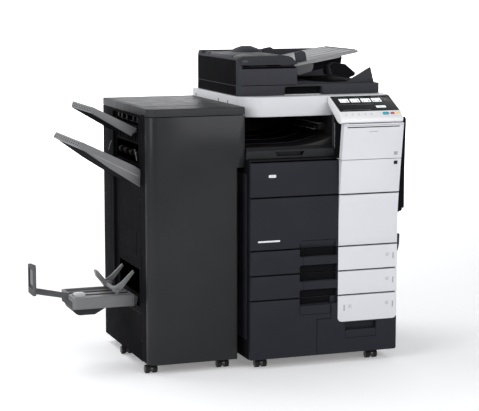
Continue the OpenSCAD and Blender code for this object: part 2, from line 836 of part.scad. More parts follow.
module side_lever() placed() color(charcoal) {
    along_x(body_w + 0.5, body_w + 13) polygon([[22, 456], [44, 456], [44, 484], [26, 496], [24, 528],
        [8, 528], [10, 486]]);
    along_x(right_in, body_w + 1) translate(lever_pivot) circle(4);
}

// ------------------------------------------------------------------ finisher

fin_base = 38;
fin_low_right = -34;
fin_right = -3;
fin_step = 827;
fin_wall = 4;
door_in = 78;
return_y = 152;
recess_y0 = 190;
recess_y1 = 572;
recess_x = fin_x + 12;
wall_in = fin_x + 16.6;

module finisher_body() placed() color(charcoal) {
    difference() {
        union() {
            slab([fin_x, door_in + 2, fin_base], [fin_low_right, fin_back, fin_seam - 0.4]);
            slab([fin_low_right - 10, door_in + 2, fin_step], [fin_right, fin_back, fin_seam - 0.4]);
            // docking beams that hook onto the main unit
            slab([fin_low_right - 4, 330, 300], [0, 420, 330]);
            slab([fin_low_right - 4, 330, 600], [0, 420, 630]);
            for (p = fin_rear) fixed_caster(p[0], p[1], fin_base);
        }
        // inside of the cabinet, open to the front
        slab([wall_in, door_in - 1, fin_base + 12],
            [fin_low_right - fin_wall, fin_back - fin_wall, fin_seam - 5]);
        slab([fin_low_right - 12, door_in - 1, fin_step + 4],
            [fin_right - fin_wall, fin_back - fin_wall, fin_seam - 5]);
        // room for the wrapped side of the door
        slab([fin_x - 1, fin_y, fin_base - 1], [fin_x + 5.4, return_y + 1.2, fin_seam]);
        slab([fin_x - 1, fin_y, fin_base - 1], [fin_x + 12, fin_y + 50, fin_seam]);
        // long recess in the delivery side, with three mouths and two lift slots
        slab([fin_x - 1, recess_y0, 256], [recess_x, recess_y1, 1028]);
        slab([fin_x - 1, recess_y0 + 14, 992], [wall_in + 1, recess_y1 - 14, 1022]);
        slab([fin_x - 1, recess_y0 + 14, 838], [wall_in + 1, recess_y1 - 14, 915]);
        slab([fin_x - 1, recess_y0 + 14, 300], [wall_in + 1, recess_y1 - 40, 404]);
        for (y = lift_y) slab([fin_x - 1, y, 436], [wall_in + 1, y + 12, 806]);
        for (p = fin_casters) swivel_bore(p[0], p[1], fin_base);
        // paper entrance from the main unit
        slab([fin_right - fin_wall - 1, 180, 940], [fin_right + 1, 560, 962]);
    }
    // bearing plates of the exit rollers
    for (y = [180, 580]) difference() {
        slab([wall_in - 1, y, 850], [-370, y + 6, 894]);
        along_y(y - 1, y + 7) translate(exit_axis) circle(4.05);
    }
    // lower pivot ear of the door
    difference() {
        union() {
            slab([door_axis[0] - 5.6, door_axis[1], fin_step + 6],
                [door_axis[0] + 5.6, door_in + 3, fin_step + 14]);
            translate([door_axis[0], door_axis[1], fin_step + 6]) cylinder(r = 5.6, h = 8);
        }
        translate([door_axis[0], door_axis[1], fin_step]) cylinder(r = 3.05, h = 20);
    }
}

exit_axis = [-386, 872];
door_axis = [-11, 66];

lift_y = [214, 520];

module fin_plan(x1) {
    polygon(rounded(fin_x, fin_y, x1, fin_back, [40, 0, 0, 0]));
}

module finisher_top_cover() placed() color(charcoal) {
    difference() {
        union() {
            along_z(fin_seam + 1.2, fin_top - 3) fin_plan(fin_right);
            intersection() {
                along_z(fin_top - 3, fin_top) fin_plan(fin_right);
                slab([fin_x + 1.5, fin_y + 1.5, fin_top - 3], [fin_right - 1.5, fin_back, fin_top]);
            }
        }
        slab([fin_x + 6, fin_y + 46, fin_seam], [fin_right - 4, fin_back - 4, fin_top - 6]);
        translate([door_axis[0], door_axis[1], fin_seam]) cylinder(r = 3.05, h = 14);
    }
    // feet that stand on the cabinet
    slab([fin_x + 60, fin_y + 28, fin_seam - 0.4], [fin_right - 60, fin_y + 40, fin_seam + 2]);
    slab([fin_x + 60, fin_back - 3.5, fin_seam - 0.4], [fin_right - 60, fin_back - 0.5, fin_seam + 2]);
}

// The finisher's front door wraps round its left edge
module finisher_door() placed() color(charcoal) {
    wall = 4;
    low = fin_base + 3;
    high = fin_seam - 1.8;
    difference() {
        union() {
            along_z(low, high) polygon(rounded(fin_x, fin_y, fin_low_right, return_y, [40, 6, 0, 0]));
            along_z(fin_step, high) polygon([
                [fin_low_right - 20, fin_y], [-16, fin_y], [fin_right, fin_y + 3],
                [fin_right, door_in], [fin_low_right - 20, door_in]
            ]);
        }
        // everything behind the skin and its stiffening lip
        along_z(low - 1, high + 1) polygon(rounded(fin_x + wall, fin_y + wall, 20, return_y + 1,
            [36, 0, 0, 0]));
    }
    // inner stiffening frame, clear of the hinge and of the cabinet
    difference() {
        along_z(low + 10, high - 10) polygon([
            [fin_x + 44, fin_y + wall], [fin_low_right - 2, fin_y + wall],
                [fin_low_right - 2, door_in - 6], [fin_x + 44, door_in - 6]
        ]);
        slab([fin_x + 60, fin_y + wall - 1, low + 30], [fin_low_right - 16, door_in, high - 30]);
    }
    slab([fin_low_right - 3, fin_y + wall - 1, fin_step + 24], [fin_right - 1, door_in - 6, high - 2]);
    translate([door_axis[0], door_axis[1], fin_step + 7]) cylinder(r = 3, h = 20);
    translate([door_axis[0], door_axis[1], high - 10]) cylinder(r = 3, h = 20);
}

// Trays of the finisher: their side outline in X and Z, carried along Y
module upper_tray() placed() color(tray_grey) {
    top0 = [fin_x - 0.4, 983.5];
    top1 = [-590, 1075];
    low1 = [-596, 1050];
    low0 = [-433.4, 953.3];
    difference() {
        along_y(204, 540) polygon([top0, top1, low1, low0]);
        // shallow bed between two side ribs
        along_y(214, 530) polygon([
            [top0[0] + 9, top0[1] - 9.5], [top1[0] + 12, top1[1] - 11], [top1[0] + 12, top1[1] + 20],
                [top0[0] + 9, top0[1] + 20]
        ]);
    }
    // foot that fills the mouth's lower edge
    along_y(214, 530) polygon([[-422, 962], [fin_x - 0.4, 968], [fin_x - 0.4, 975], [-422, 978]]);
    slab([fin_x - 0.4, 260, 972], [recess_x, 280, 980]);
    slab([fin_x - 0.4, 480, 972], [recess_x, 500, 980]);
}

module main_tray() placed() color(tray_grey) {
    top = [[-410.6, 822.7], [-434, 838.6], [-607, 923], [-652, 944]];
    under = [[-665, 922], [-638, 906], [-537, 833], [-411.5, 752]];
    difference() {
        along_y(156, 585) polygon(concat(top, under));
        along_y(166, 575) polygon([[-400, 812], [-436, 828.6], [-609, 912.8], [-642, 928], [-642, 1000],
            [-400, 1000]]);
    }
    // hangers that run in the lift slots
    for (y = lift_y) slab([fin_x - 3, y + 0.5, 762], [wall_in - 2, y + 11.5, 800]);
}

booklet_y0 = 225;
booklet_y1 = 440;

module booklet_tray() placed() color(tray_grey) {
    difference() {
        union() {
            along_z(256, 303) polygon(rounded(-676, booklet_y0, -419, booklet_y1, [14, 4, 4, 14]));
            slab([-421, booklet_y0 + 7, 260], [fin_x - 1, booklet_y1 - 7, 296]);
        }
        slab([-664, booklet_y0 + 12, 290], [fin_x, booklet_y1 - 12, 304]);
        slab([-690, 312, 280], [-663, 348, 304]);
        along_y(305, 355) translate(stop_hinge) circle(3.05);
    }
    // ears that carry the paddles
    for (y = [244, 429]) difference() {
        slab([-495, y, 256], [-481, y + 6, 327]);
        along_y(y - 1, y + 7) translate(paddle_axis) circle(3.05);
    }
    // under body
    along_y(booklet_y0 + 10, booklet_y1 - 60) polygon(concat(
        arc(-642, 266, 33, 180, 262, 8), [[-584, 232], [-540, 257], [-560, 264], [-668, 264]]
    ));
    slab([fin_x - 1, 260, 262], [recess_x, 400, 284]);
}

stop_hinge = [-672, 297];

module booklet_stopper() placed() color(tray_grey) {
    arm_y0 = 316;
    arm_y1 = 344;
    along_y(arm_y0, arm_y1) polygon([[-683, 287], [-668, 291], [-668, 303], [-692, 309], [-814, 336],
        [-814, 314], [-690, 288]]);
    difference() {
        along_x(stopper_x, -814) polygon(concat(
            [[280, 319], [288, 311], [380, 311], [380, 426], [376, 430], [288, 438], [280, 432]]
        ));
        slab([stopper_x - 1, 292, 338], [-820, 368, 416]);
        slab([stopper_x - 1, 300, 352], [-813, 360, 416]);
    }
    along_y(306, 354) translate(stop_hinge) circle(3);
}

paddle_axis = [-488, 318];

module booklet_paddles() placed() color(tray_grey) {
    along_y(254, 425) translate(paddle_axis) circle(9);
    for (y = [254, 393]) along_y(y, y + 32) polygon([[-498, 312], [-486, 306], [-474, 312], [-466, 328],
        [-480, 334], [-500, 330]]);
    along_y(244, 435) translate(paddle_axis) circle(3);
    for (y = [254, 415]) {
        along_y(y, y + 10) polygon([[-490, 307], [-474, 311], [-412.5, 388], [-417.5, 398], [-466, 352],
            [-494, 334]]);
    }
    along_y(393, 425) polygon([[-482, 310], [-492, 334], [-512, 358], [-530, 380], [-540, 378],
        [-532, 352], [-512, 328], [-499, 310]]);
}

module exit_rollers() placed() color(rubber_black) {
    for (y = [250, 330, 410, 490]) along_y(y, y + 24) translate(exit_axis) circle(14);
    along_y(178, 588) translate(exit_axis) circle(4);
}

// ------------------------------------------------------------------- casters

caster_main_x = [63, 558];
caster_main_y = 47;
caster_rear_y = 690;
fin_casters = [[-388, 102], [-84, 98]];
fin_rear = [[-388, 458], [-84, 458]];
axle_r = 3;
stem_r = 6;
wheel_gap = 13;
wheel_w = 18;

module swivel_bore(x, y, z) {
    translate([x, y, z - 1]) cylinder(r = stem_r + 0.05, h = 11);
}

// Swivelling part of a twin-wheel caster: stem, plate, web and axle
module caster(x, y, z) {
    translate([x, y, 0]) {
        translate([0, 0, z - 2.5]) cylinder(r = 15, h = 2);
        translate([0, 0, z - 1]) cylinder(r = stem_r, h = 9);
        slab([-5, 0, wheel_r - 8], [5, trail + 8, z - 0.5]);
        along_x(-wheel_gap / 2 - wheel_w - 2, wheel_gap / 2 + wheel_w + 2) translate([trail, wheel_r])
            circle(axle_r);
    }
}

// Bracket of a caster that doesn't swivel, fixed to the underside at z
module fixed_caster(x, y, z) {
    slab([x - 5, y, wheel_r - 8], [x + 5, y + trail + 8, z + 1]);
    slab([x - 20, y - 12, z - 2], [x + 20, y + trail + 18, z + 1]);
    reach = wheel_gap / 2 + wheel_w + 2;
    along_x(x - reach, x + reach) translate([y + trail, wheel_r]) circle(axle_r);
}

module wheel_pair(x, y) {
    for (side = [-1, 1]) {
        translate([x + side * (wheel_gap + wheel_w) / 2, y + trail, wheel_r]) rotate([0, 90, 0])
            difference() {
            cylinder(r = wheel_r, h = wheel_w, center = true);
            cylinder(r = axle_r + 0.05, h = wheel_w + 2, center = true);
        }
    }
}

module main_caster_left() placed() color(inner_black) {
    caster(caster_main_x[0], caster_main_y, base_z);
}

module main_wheels_left() placed() color(rubber_black) {
    wheel_pair(caster_main_x[0], caster_main_y);
}

module main_caster_right() placed() color(inner_black) {
    caster(caster_main_x[1], caster_main_y, base_z);
}

module main_wheels_right() placed() color(rubber_black) {
    wheel_pair(caster_main_x[1], caster_main_y);
}

module main_wheels_rear_left() placed() color(rubber_black) {
    wheel_pair(caster_main_x[0], caster_rear_y);
}

module main_wheels_rear_right() placed() color(rubber_black) {
    wheel_pair(caster_main_x[1], caster_rear_y);
}

module fin_caster_left() placed() color(inner_black) {
    caster(fin_casters[0][0], fin_casters[0][1], fin_base);
}

module fin_wheels_left() placed() color(rubber_black) {
    wheel_pair(fin_casters[0][0], fin_casters[0][1]);
}

module fin_caster_right() placed() color(inner_black) {
    caster(fin_casters[1][0], fin_casters[1][1], fin_base);
}

module fin_wheels_right() placed() color(rubber_black) {
    wheel_pair(fin_casters[1][0], fin_casters[1][1]);
}

module fin_wheels_rear_left() placed() color(rubber_black) {
    wheel_pair(fin_rear[0][0], fin_rear[0][1]);
}

module fin_wheels_rear_right() placed() color(rubber_black) {
    wheel_pair(fin_rear[1][0], fin_rear[1][1]);
}

main_frame();
left_cover();
right_cover();
rear_cover();
output_tray();
output_tray_cover();
exit_unit();
scanner_housing();
platen_glass();
scan_carriage();
column_cover();
fuser_unit();
drum_unit();
toner_bottles();
upper_door();
upper_door_panel();
lower_door();
lower_door_panel();
drawer_1();
drawer_1_panel();
drawer_2();
drawer_2_panel();
drawer_3();
drawer_4();
drawer_4_panel();
panel_housing();
touch_screen();
start_key();
stop_key();
feeder_base();
feeder_body();
feeder_cover();
feeder_tray();
guide_front();
guide_rear();
feed_roller();
side_unit();
bypass_tray();
side_lever();
finisher_body();
finisher_top_cover();
finisher_door();
upper_tray();
main_tray();
booklet_tray();
booklet_stopper();
booklet_paddles();
exit_rollers();
main_caster_left();
main_wheels_left();
main_caster_right();
main_wheels_right();
main_wheels_rear_left();
main_wheels_rear_right();
fin_caster_left();
fin_wheels_left();
fin_caster_right();
fin_wheels_right();
fin_wheels_rear_left();
fin_wheels_rear_right();
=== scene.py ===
"""Looks of the copier and its finisher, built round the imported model."""
import math
from collections import defaultdict

import bmesh
import bpy
from mathutils import Matrix, Vector


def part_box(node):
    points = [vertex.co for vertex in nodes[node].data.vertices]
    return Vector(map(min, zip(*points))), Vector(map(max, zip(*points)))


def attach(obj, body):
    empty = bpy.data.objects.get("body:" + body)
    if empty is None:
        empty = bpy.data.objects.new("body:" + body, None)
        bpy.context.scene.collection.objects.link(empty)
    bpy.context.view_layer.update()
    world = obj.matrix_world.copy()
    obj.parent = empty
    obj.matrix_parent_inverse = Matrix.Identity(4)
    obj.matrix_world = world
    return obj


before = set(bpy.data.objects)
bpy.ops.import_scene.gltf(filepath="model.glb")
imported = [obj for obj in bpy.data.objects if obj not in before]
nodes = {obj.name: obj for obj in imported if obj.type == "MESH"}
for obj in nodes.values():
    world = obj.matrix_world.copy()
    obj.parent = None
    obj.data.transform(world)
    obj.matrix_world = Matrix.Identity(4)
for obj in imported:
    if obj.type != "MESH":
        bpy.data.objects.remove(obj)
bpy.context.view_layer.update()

# The machine's own corner: left side, front plane and floor, in the row frame.
corner = Vector((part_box("left_cover")[0].x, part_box("drawer_1")[0].y, 0.0))
X = Vector((1, 0, 0))
Y = Vector((0, 1, 0))
Z = Vector((0, 0, 1))


def at(x, y, z):
    """A point of the machine in millimetres, as a place in the row frame."""
    return corner + Vector((x, y, z)) / 1000


# ------------------------------------------------------------------ materials


def material(name, colour, roughness, metallic=0.0, coat=0.0, alpha=1.0):
    """A Principled material and the parts of its tree that others add to."""
    mat = bpy.data.materials.new(name)
    mat.use_nodes = True
    tree = mat.node_tree
    shader = tree.nodes["Principled BSDF"]
    shader.inputs["Base Color"].default_value = (*colour, 1)
    shader.inputs["Roughness"].default_value = roughness
    shader.inputs["Metallic"].default_value = metallic
    shader.inputs["Coat Weight"].default_value = coat
    shader.inputs["Alpha"].default_value = alpha
    return mat, tree, shader


def object_coords(tree):
    return tree.nodes.new("ShaderNodeTexCoord").outputs["Object"]


def noise(tree, coords, scale, detail=2.0, rough=0.5):
    node = tree.nodes.new("ShaderNodeTexNoise")
    node.inputs["Scale"].default_value = scale
    node.inputs["Detail"].default_value = detail
    node.inputs["Roughness"].default_value = rough
    tree.links.new(coords, node.inputs["Vector"])
    return node.outputs["Fac"]


def spread(tree, value, low, high):
    """Maps 0.3..0.7 of a noise to low..high."""
    node = tree.nodes.new("ShaderNodeMapRange")
    node.inputs["From Min"].default_value = 0.3
    node.inputs["From Max"].default_value = 0.7
    node.inputs["To Min"].default_value = low
    node.inputs["To Max"].default_value = high
    tree.links.new(value, node.inputs["Value"])
    return node.outputs["Result"]


def blend_colours(tree, factor, a, b):
    node = tree.nodes.new("ShaderNodeMix")
    node.data_type = "RGBA"
    node.inputs[6].default_value = (*a, 1)
    node.inputs[7].default_value = (*b, 1)
    tree.links.new(factor, node.inputs[0])
    return node.outputs[2]


def add_bump(tree, shader, height, strength, distance):
    bump = tree.nodes.new("ShaderNodeBump")
    bump.inputs["Strength"].default_value = strength
    bump.inputs["Distance"].default_value = distance
    tree.links.new(height, bump.inputs["Height"])
    tree.links.new(bump.outputs["Normal"], shader.inputs["Normal"])


def shade(colour, k):
    return tuple(min(1.0, c * k) for c in colour)


GRAIN = 1500.0
GRAIN_DEPTH = 0.00006


def plastic(name, colour, roughness, vary=0.06, shine=0.3, coat=0.0):
    """Moulded plastic: fine grain, faint cloudiness, and smudges in its gloss."""
    mat, tree, shader = material(name, colour, roughness, coat=coat)
    shader.inputs["Specular IOR Level"].default_value = shine
    shader.inputs["Coat Roughness"].default_value = 0.2
    coords = object_coords(tree)
    cloud = noise(tree, coords, 7.0, 3.0)
    tree.links.new(
        blend_colours(tree, spread(tree, cloud, 0, 1), shade(colour, 1 - vary), shade(colour, 1 + vary)),
        shader.inputs["Base Color"],
    )
    smudge = noise(tree, coords, 18.0, 4.0, 0.6)
    tree.links.new(spread(tree, smudge, roughness - 0.05, roughness + 0.06), shader.inputs["Roughness"])
    add_bump(tree, shader, noise(tree, coords, GRAIN, 2.0), 0.35, GRAIN_DEPTH)
    return mat


def brushed(name, colour, roughness, stretch=(1, 1, 40)):
    """Brushed sheet metal: long fine scratches across one direction."""
    mat, tree, shader = material(name, colour, roughness, metallic=1.0)
    coords = object_coords(tree)
    mapping = tree.nodes.new("ShaderNodeMapping")
    mapping.inputs["Scale"].default_value = stretch
    tree.links.new(coords, mapping.inputs["Vector"])
    lines = noise(tree, mapping.outputs["Vector"], 60.0, 4.0)
    tree.links.new(spread(tree, lines, roughness - 0.1, roughness + 0.12), shader.inputs["Roughness"])
    add_bump(tree, shader, lines, 0.2, 0.00004)
    return mat


def gloss(name, colour, roughness, coat=0.6, shine=0.5):
    """Polished plastic or glass-fronted part with faint finger marks."""
    mat, tree, shader = material(name, colour, roughness, coat=coat)
    shader.inputs["Specular IOR Level"].default_value = shine
    shader.inputs["Coat Roughness"].default_value = 0.06
    coords = object_coords(tree)
    marks = noise(tree, coords, 45.0, 5.0, 0.65)
    tree.links.new(spread(tree, marks, roughness, roughness + 0.09), shader.inputs["Roughness"])
    return mat


def rubber(name, colour):
    """Ground rubber: matt, with a fine stipple."""
    mat, tree, shader = material(name, colour, 0.7)
    shader.inputs["Specular IOR Level"].default_value = 0.15
    coords = object_coords(tree)
    tree.links.new(spread(tree, noise(tree, coords, 40.0, 3.0), 0.6, 0.82), shader.inputs["Roughness"])
    add_bump(tree, shader, noise(tree, coords, 900.0, 3.0), 0.5, 0.0001)
    return mat


def glowing(name, colour, strength):
    mat, tree, shader = material(name, colour, 0.25)
    coords = object_coords(tree)
    tint = blend_colours(tree, spread(tree, noise(tree, coords, 30.0), 0, 1), shade(colour, 0.94), colour)
    tree.links.new(tint, shader.inputs["Base Color"])
    shader.inputs["Emission Color"].default_value = (*colour, 1)
    shader.inputs["Emission Strength"].default_value = strength
    return mat


def clear_glass(name):
    mat, tree, shader = material(name, (0.5, 0.62, 0.6), 0.03, coat=0.4, alpha=0.32)
    coords = object_coords(tree)
    tree.links.new(spread(tree, noise(tree, coords, 25.0, 4.0), 0.02, 0.07), shader.inputs["Roughness"])
    return mat


charcoal = plastic("charcoal_plastic", (0.026, 0.027, 0.029), 0.5, shine=0.08)
door_charcoal = plastic("door_charcoal_plastic", (0.0190, 0.0198, 0.0213), 0.5, shine=0.06, coat=0.25)
charcoal_top = plastic("charcoal_top_plastic", (0.034, 0.035, 0.037), 0.42, shine=0.11)
# Near-black plastic, darker than charcoal and nearly without gloss: the side parts' own black, darkened
# further as painted shade on faces turned from the front light and in recesses.
black_and_shade = plastic("black_and_shade_plastic", (0.0068, 0.0070, 0.0080), 0.62, shine=0.008)
blue_black = plastic("blue_black_plastic", (0.019, 0.0200, 0.026), 0.46, shine=0.1)
inner_black = plastic("inner_black_paint", (0.010, 0.010, 0.011), 0.5, shine=0.1)
# Painted shade: near-black lines that widen the dark of seams and gaps.
painted_shade_black = plastic("painted_shade_black_plastic", (0.0022, 0.0022, 0.0025), 0.8, shine=0.0)
cavity_black = plastic("cavity_black_plastic", (0.010, 0.010, 0.011), 0.42, shine=0.2)
shell_white = plastic("shell_white_plastic", (0.66, 0.665, 0.70), 0.38, vary=0.015)
scanner_grey = plastic("scanner_grey_plastic", (0.62, 0.625, 0.65), 0.40, vary=0.015)
tray_grey = plastic("tray_grey_plastic", (0.165, 0.166, 0.170), 0.48, vary=0.04, shine=0.2)
tray_light = plastic("tray_light_plastic", (0.24, 0.24, 0.245), 0.45, vary=0.04)
# Painted shade: a very dark grey, darker than the tray plastic, for the trays' undersides and the slots in
# their ends.
tray_shade_dark = plastic("tray_shade_dark_plastic", (0.020, 0.0205, 0.022), 0.85, shine=0.0)
feeder_grey = plastic("feeder_grey_plastic", (0.047, 0.0475, 0.055), 0.5, shine=0.03)
feeder_top = plastic("feeder_top_plastic", (0.034, 0.035, 0.040), 0.46, shine=0.07)
feeder_tray_grey = plastic("feeder_tray_plastic", (0.235, 0.235, 0.24), 0.42)
arm_grey = plastic("arm_grey_plastic", (0.10, 0.10, 0.103), 0.65, shine=0.02)
steel = brushed("brushed_steel", (0.55, 0.55, 0.56), 0.34)
zinc = brushed("zinc_plate", (0.42, 0.43, 0.44), 0.42, (6, 6, 6))
screen_black = gloss("screen_glass", (0.004, 0.0045, 0.005), 0.12, 0.06, 0.3)
teal = gloss("teal_key", (0.02, 0.36, 0.46), 0.25)
red = gloss("red_key", (0.52, 0.05, 0.04), 0.25)
amber = glowing("amber_lamp", (0.85, 0.50, 0.05), 0.4)
tile_white = glowing("screen_tile", (0.80, 0.83, 0.84), 0.55)
drum_green = gloss("drum_housing", (0.02, 0.22, 0.20), 0.3)
toner_white = plastic("toner_bottle", (0.55, 0.55, 0.56), 0.35)
pad_white = plastic("platen_pad", (0.83, 0.83, 0.82), 0.6, vary=0.01)
rubber_dark = rubber("rubber_dark", (0.006, 0.006, 0.007))
rubber_black = rubber("rubber_black", (0.018, 0.018, 0.019))
caster_black = gloss("caster_black", (0.02, 0.02, 0.021), 0.28, 0.3)
platen = clear_glass("platen_glass_clear")
silver = brushed("silver_badge", (0.70, 0.71, 0.73), 0.28, (40, 1, 1))
lever_green = plastic("lever_green", (0.05, 0.26, 0.12), 0.35)
label_grey = plastic("plain_label", (0.33, 0.34, 0.40), 0.5, vary=0.05)
mark_grey = plastic("plain_mark", (0.24, 0.24, 0.27), 0.5, vary=0.05)
panel_white = plastic("panel_white_plastic", (0.82, 0.82, 0.83), 0.36, vary=0.01)

LOOK = {
    zinc: "fuser_unit scan_carriage",
    inner_black: "main_frame main_caster_left main_caster_right fin_caster_left fin_caster_right",
    blue_black: "upper_door lower_door drawer_1 drawer_2 drawer_3 drawer_4",
    cavity_black: "output_tray exit_unit",
    # The left cover and the finisher body take the near-black with its painted side shade.
    black_and_shade: "left_cover finisher_body side_unit bypass_tray",
    charcoal: "right_cover rear_cover output_tray_cover side_lever",
    door_charcoal: "finisher_door",
    charcoal_top: "finisher_top_cover",
    shell_white: "column_cover upper_door_panel lower_door_panel "
    "drawer_1_panel drawer_2_panel drawer_4_panel",
    panel_white: "panel_housing",
    scanner_grey: "scanner_housing",
    platen: "platen_glass",
    drum_green: "drum_unit",
    toner_white: "toner_bottles",
    screen_black: "touch_screen",
    teal: "start_key",
    red: "stop_key",
    feeder_grey: "feeder_base feeder_body guide_front guide_rear",
    feeder_top: "feeder_cover",
    feeder_tray_grey: "feeder_tray",
    tray_grey: "upper_tray main_tray booklet_tray",
    tray_light: "booklet_paddles",
    arm_grey: "booklet_stopper",
    rubber_dark: "exit_rollers",
    rubber_black: "feed_roller main_wheels_left main_wheels_right main_wheels_rear_left "
    "main_wheels_rear_right fin_wheels_left fin_wheels_right fin_wheels_rear_left fin_wheels_rear_right",
}
# Edges sharper than this many degrees are rounded.
EDGE_ANGLE = 34
# Width of the rounding on a CAD node's edges, in millimetres: the usual one, and the others.
EDGE = 1.4
EDGES = {
    "finisher_top_cover": 4.5, "finisher_body": 1.2, "scanner_housing": 2.2, "feeder_base": 2.0,
    "feeder_cover": 3.0, "feeder_body": 2.0, "panel_housing": 2.2, "upper_tray": 2.6, "main_tray": 2.6,
    "booklet_tray": 3.0, "touch_screen": 0.5, "start_key": 0.8, "stop_key": 0.7, "platen_glass": 0.4,
    "left_cover": 0.8, "right_cover": 0.8, "rear_cover": 0.8, "feeder_tray": 2.2, "column_cover": 1.6,
    "finisher_door": 4.0, "feed_roller": 0.6, "drawer_4_panel": 1.8, "drawer_1_panel": 1.8,
    "drawer_2_panel": 1.8, "booklet_paddles": 1.6, "booklet_stopper": 2.0, "side_unit": 3.0,
    "bypass_tray": 2.0, "output_tray": 1.0, "main_frame": 0.8,
}


def round_edges(obj, width, segments):
    bevel = obj.modifiers.new("round", "BEVEL")
    bevel.width = width / 1000
    bevel.segments = segments
    bevel.limit_method = "ANGLE"
    bevel.angle_limit = math.radians(EDGE_ANGLE)
    bevel.harden_normals = True


def smooth(mesh):
    for polygon in mesh.polygons:
        polygon.use_smooth = True


def dress_cad():
    for mat, names in LOOK.items():
        for name in names.split():
            obj = nodes[name]
            obj.data.materials.clear()
            obj.data.materials.append(mat)
            smooth(obj.data)
            weld = obj.modifiers.new("weld", "WELD")
            weld.merge_threshold = 0.00002
            round_edges(obj, EDGES.get(name, EDGE), 3)


# -------------------------------------------------------------- shape helpers


def axes(origin, u, v):
    """A local frame in millimetres: x along u, y along v, z out along their cross product."""
    w = u.cross(v).normalized()
    m = Matrix((u.normalized(), v.normalized(), w)).transposed() * 0.001
    m = m.to_4x4()
    m.translation = at(*origin)
    return m


def front(y):
    """Machine X and Z on a plane that faces the front. Local z is towards the front."""
    return axes((0, y, 0), X, Z)


def rear(y):
    return axes((0, y, 0), -X, Z)


def right_side(x):
    return axes((x, 0, 0), Y, Z)


def left_side(x):
    return axes((x, 0, 0), -Y, Z)


def top(z):
    return axes((0, 0, z), X, Y)


PLAN = top(0)
FACE = front(0)
CORNER_STEPS = 5


def oblong(x0, y0, x1, y1, r=0.0):
    """Outline of a rectangle with rounded corners."""
    if r <= 0:
        return [(x0, y0), (x1, y0), (x1, y1), (x0, y1)]
    points = []
    for cx, cy, start in ((x0 + r, y0 + r, 180), (x1 - r, y0 + r, 270), (x1 - r, y1 - r, 0),
                          (x0 + r, y1 - r, 90)):
        for i in range(CORNER_STEPS + 1):
            a = math.radians(start + 90 * i / CORNER_STEPS)
            points.append((cx + r * math.cos(a), cy + r * math.sin(a)))
    return points


def ring(cx, cy, r, steps):
    turns = [2 * math.pi * i / steps for i in range(steps)]
    return [(cx + r * math.cos(a), cy + r * math.sin(a)) for a in turns]


def loop(bm, outline, z, place):
    """An outline's points as new vertices at one height of a local frame."""
    return [bm.verts.new(place @ Vector((x, y, z))) for x, y in outline]


def join(bm, a, b):
    """Faces between two loops with the same number of points."""
    for i in range(len(a)):
        j = (i + 1) % len(a)
        bm.faces.new((a[i], a[j], b[j], b[i]))


def close(bm, loops):
    """A solid through a stack of loops, closed at both ends."""
    for a, b in zip(loops, loops[1:]):
        join(bm, a, b)
    bm.faces.new(list(reversed(loops[0])))
    bm.faces.new(loops[-1])


def prism(bm, outline, low, high, place):
    """A solid from an outline in a local frame, from low to high along its z."""
    close(bm, [loop(bm, outline, z, place) for z in (low, high)])


def lathe(bm, profile, place, steps):
    """A turned solid about the local z axis from (radius, height) points."""
    close(bm, [loop(bm, ring(0, 0, r, steps), z, place) for r, z in profile])


def frame_bar(bm, outer, inner, low, high, place):
    """A flat frame between two outlines with the same number of points."""
    loops = [loop(bm, outline, z, place)
             for outline, z in ((outer, low), (outer, high), (inner, high), (inner, low))]
    for k in range(4):
        join(bm, loops[k], loops[(k + 1) % 4])


def mesh_object(name, bm, mat):
    mesh = bpy.data.meshes.new(name)
    bm.to_mesh(mesh)
    bm.free()
    smooth(mesh)
    mesh.materials.append(mat)
    obj = bpy.data.objects.new(name, mesh)
    bpy.context.scene.collection.objects.link(obj)
    return obj


def finish_piece(name, bm, mat, edge=0.5, segments=2, body="machine"):
    """Turns a bmesh into a piece with rounded edges that rides on a body."""
    bmesh.ops.remove_doubles(bm, verts=bm.verts, dist=0.000001)
    bmesh.ops.recalc_face_normals(bm, faces=bm.faces)
    obj = mesh_object(name, bm, mat)
    round_edges(obj, edge, segments)
    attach(obj, body)


def plates(name, items, mat, edge=0.5, body="machine"):
    """Several prisms as one piece: each item is (outline, low, high, place)."""
    bm = bmesh.new()
    for outline, low, high, place in items:
        prism(bm, outline, low, high, place)
    finish_piece(name, bm, mat, edge, body=body)


def shapes(name, mat, edge, place, low, high, outlines, body="machine"):
    """Flat shapes of one thickness on one plane, as one piece."""
    plates(name, [(outline, low, high, place) for outline in outlines], mat, edge, body)


def blocks(name, mat, edge, place, low, high, boxes, body="machine"):
    """Blocks of one thickness on one plane, as one piece: each box is (x0, y0, x1, y1, corner radius)."""
    shapes(name, mat, edge, place, low, high, [oblong(*box) for box in boxes], body)


def frame_piece(name, mat, edge, place, low, high, outer, inner, body="machine"):
    """A flat frame between two rounded rectangles, as one piece."""
    bm = bmesh.new()
    frame_bar(bm, oblong(*outer), oblong(*inner), low, high, place)
    finish_piece(name, bm, mat, edge, body=body)


def turned(name, mat, edge, places, profile, steps, body="machine"):
    """Equal turned solids as one piece, each about the z axis of its local frame."""
    bm = bmesh.new()
    for place in places:
        lathe(bm, profile, place, steps)
    finish_piece(name, bm, mat, edge, body=body)


SCREW_R = 3.6


def screws(name, places):
    """Cross-head screws, each at the origin of its local frame."""
    r = SCREW_R
    bm = bmesh.new()
    for place in places:
        lathe(bm, [(r, -0.4), (r, 0.5), (r * 0.82, 1.3), (r * 0.45, 1.7)], place, 20)
        for quarter in range(2):
            turn = place @ Matrix.Rotation(quarter * math.pi / 2, 4, "Z")
            prism(bm, oblong(-r * 0.5, -0.35, r * 0.5, 0.35), 1.5, 1.95, turn)
    finish_piece(name, bm, steel, 0.15, 1)


# ----------------------------------------------------------- panel and column

LEAN_START = 600


def lean(z):
    """Y of the white column's front at a height, in millimetres."""
    return 0.0 if z <= LEAN_START else -50 * ((z - LEAN_START) / 400) ** 1.2


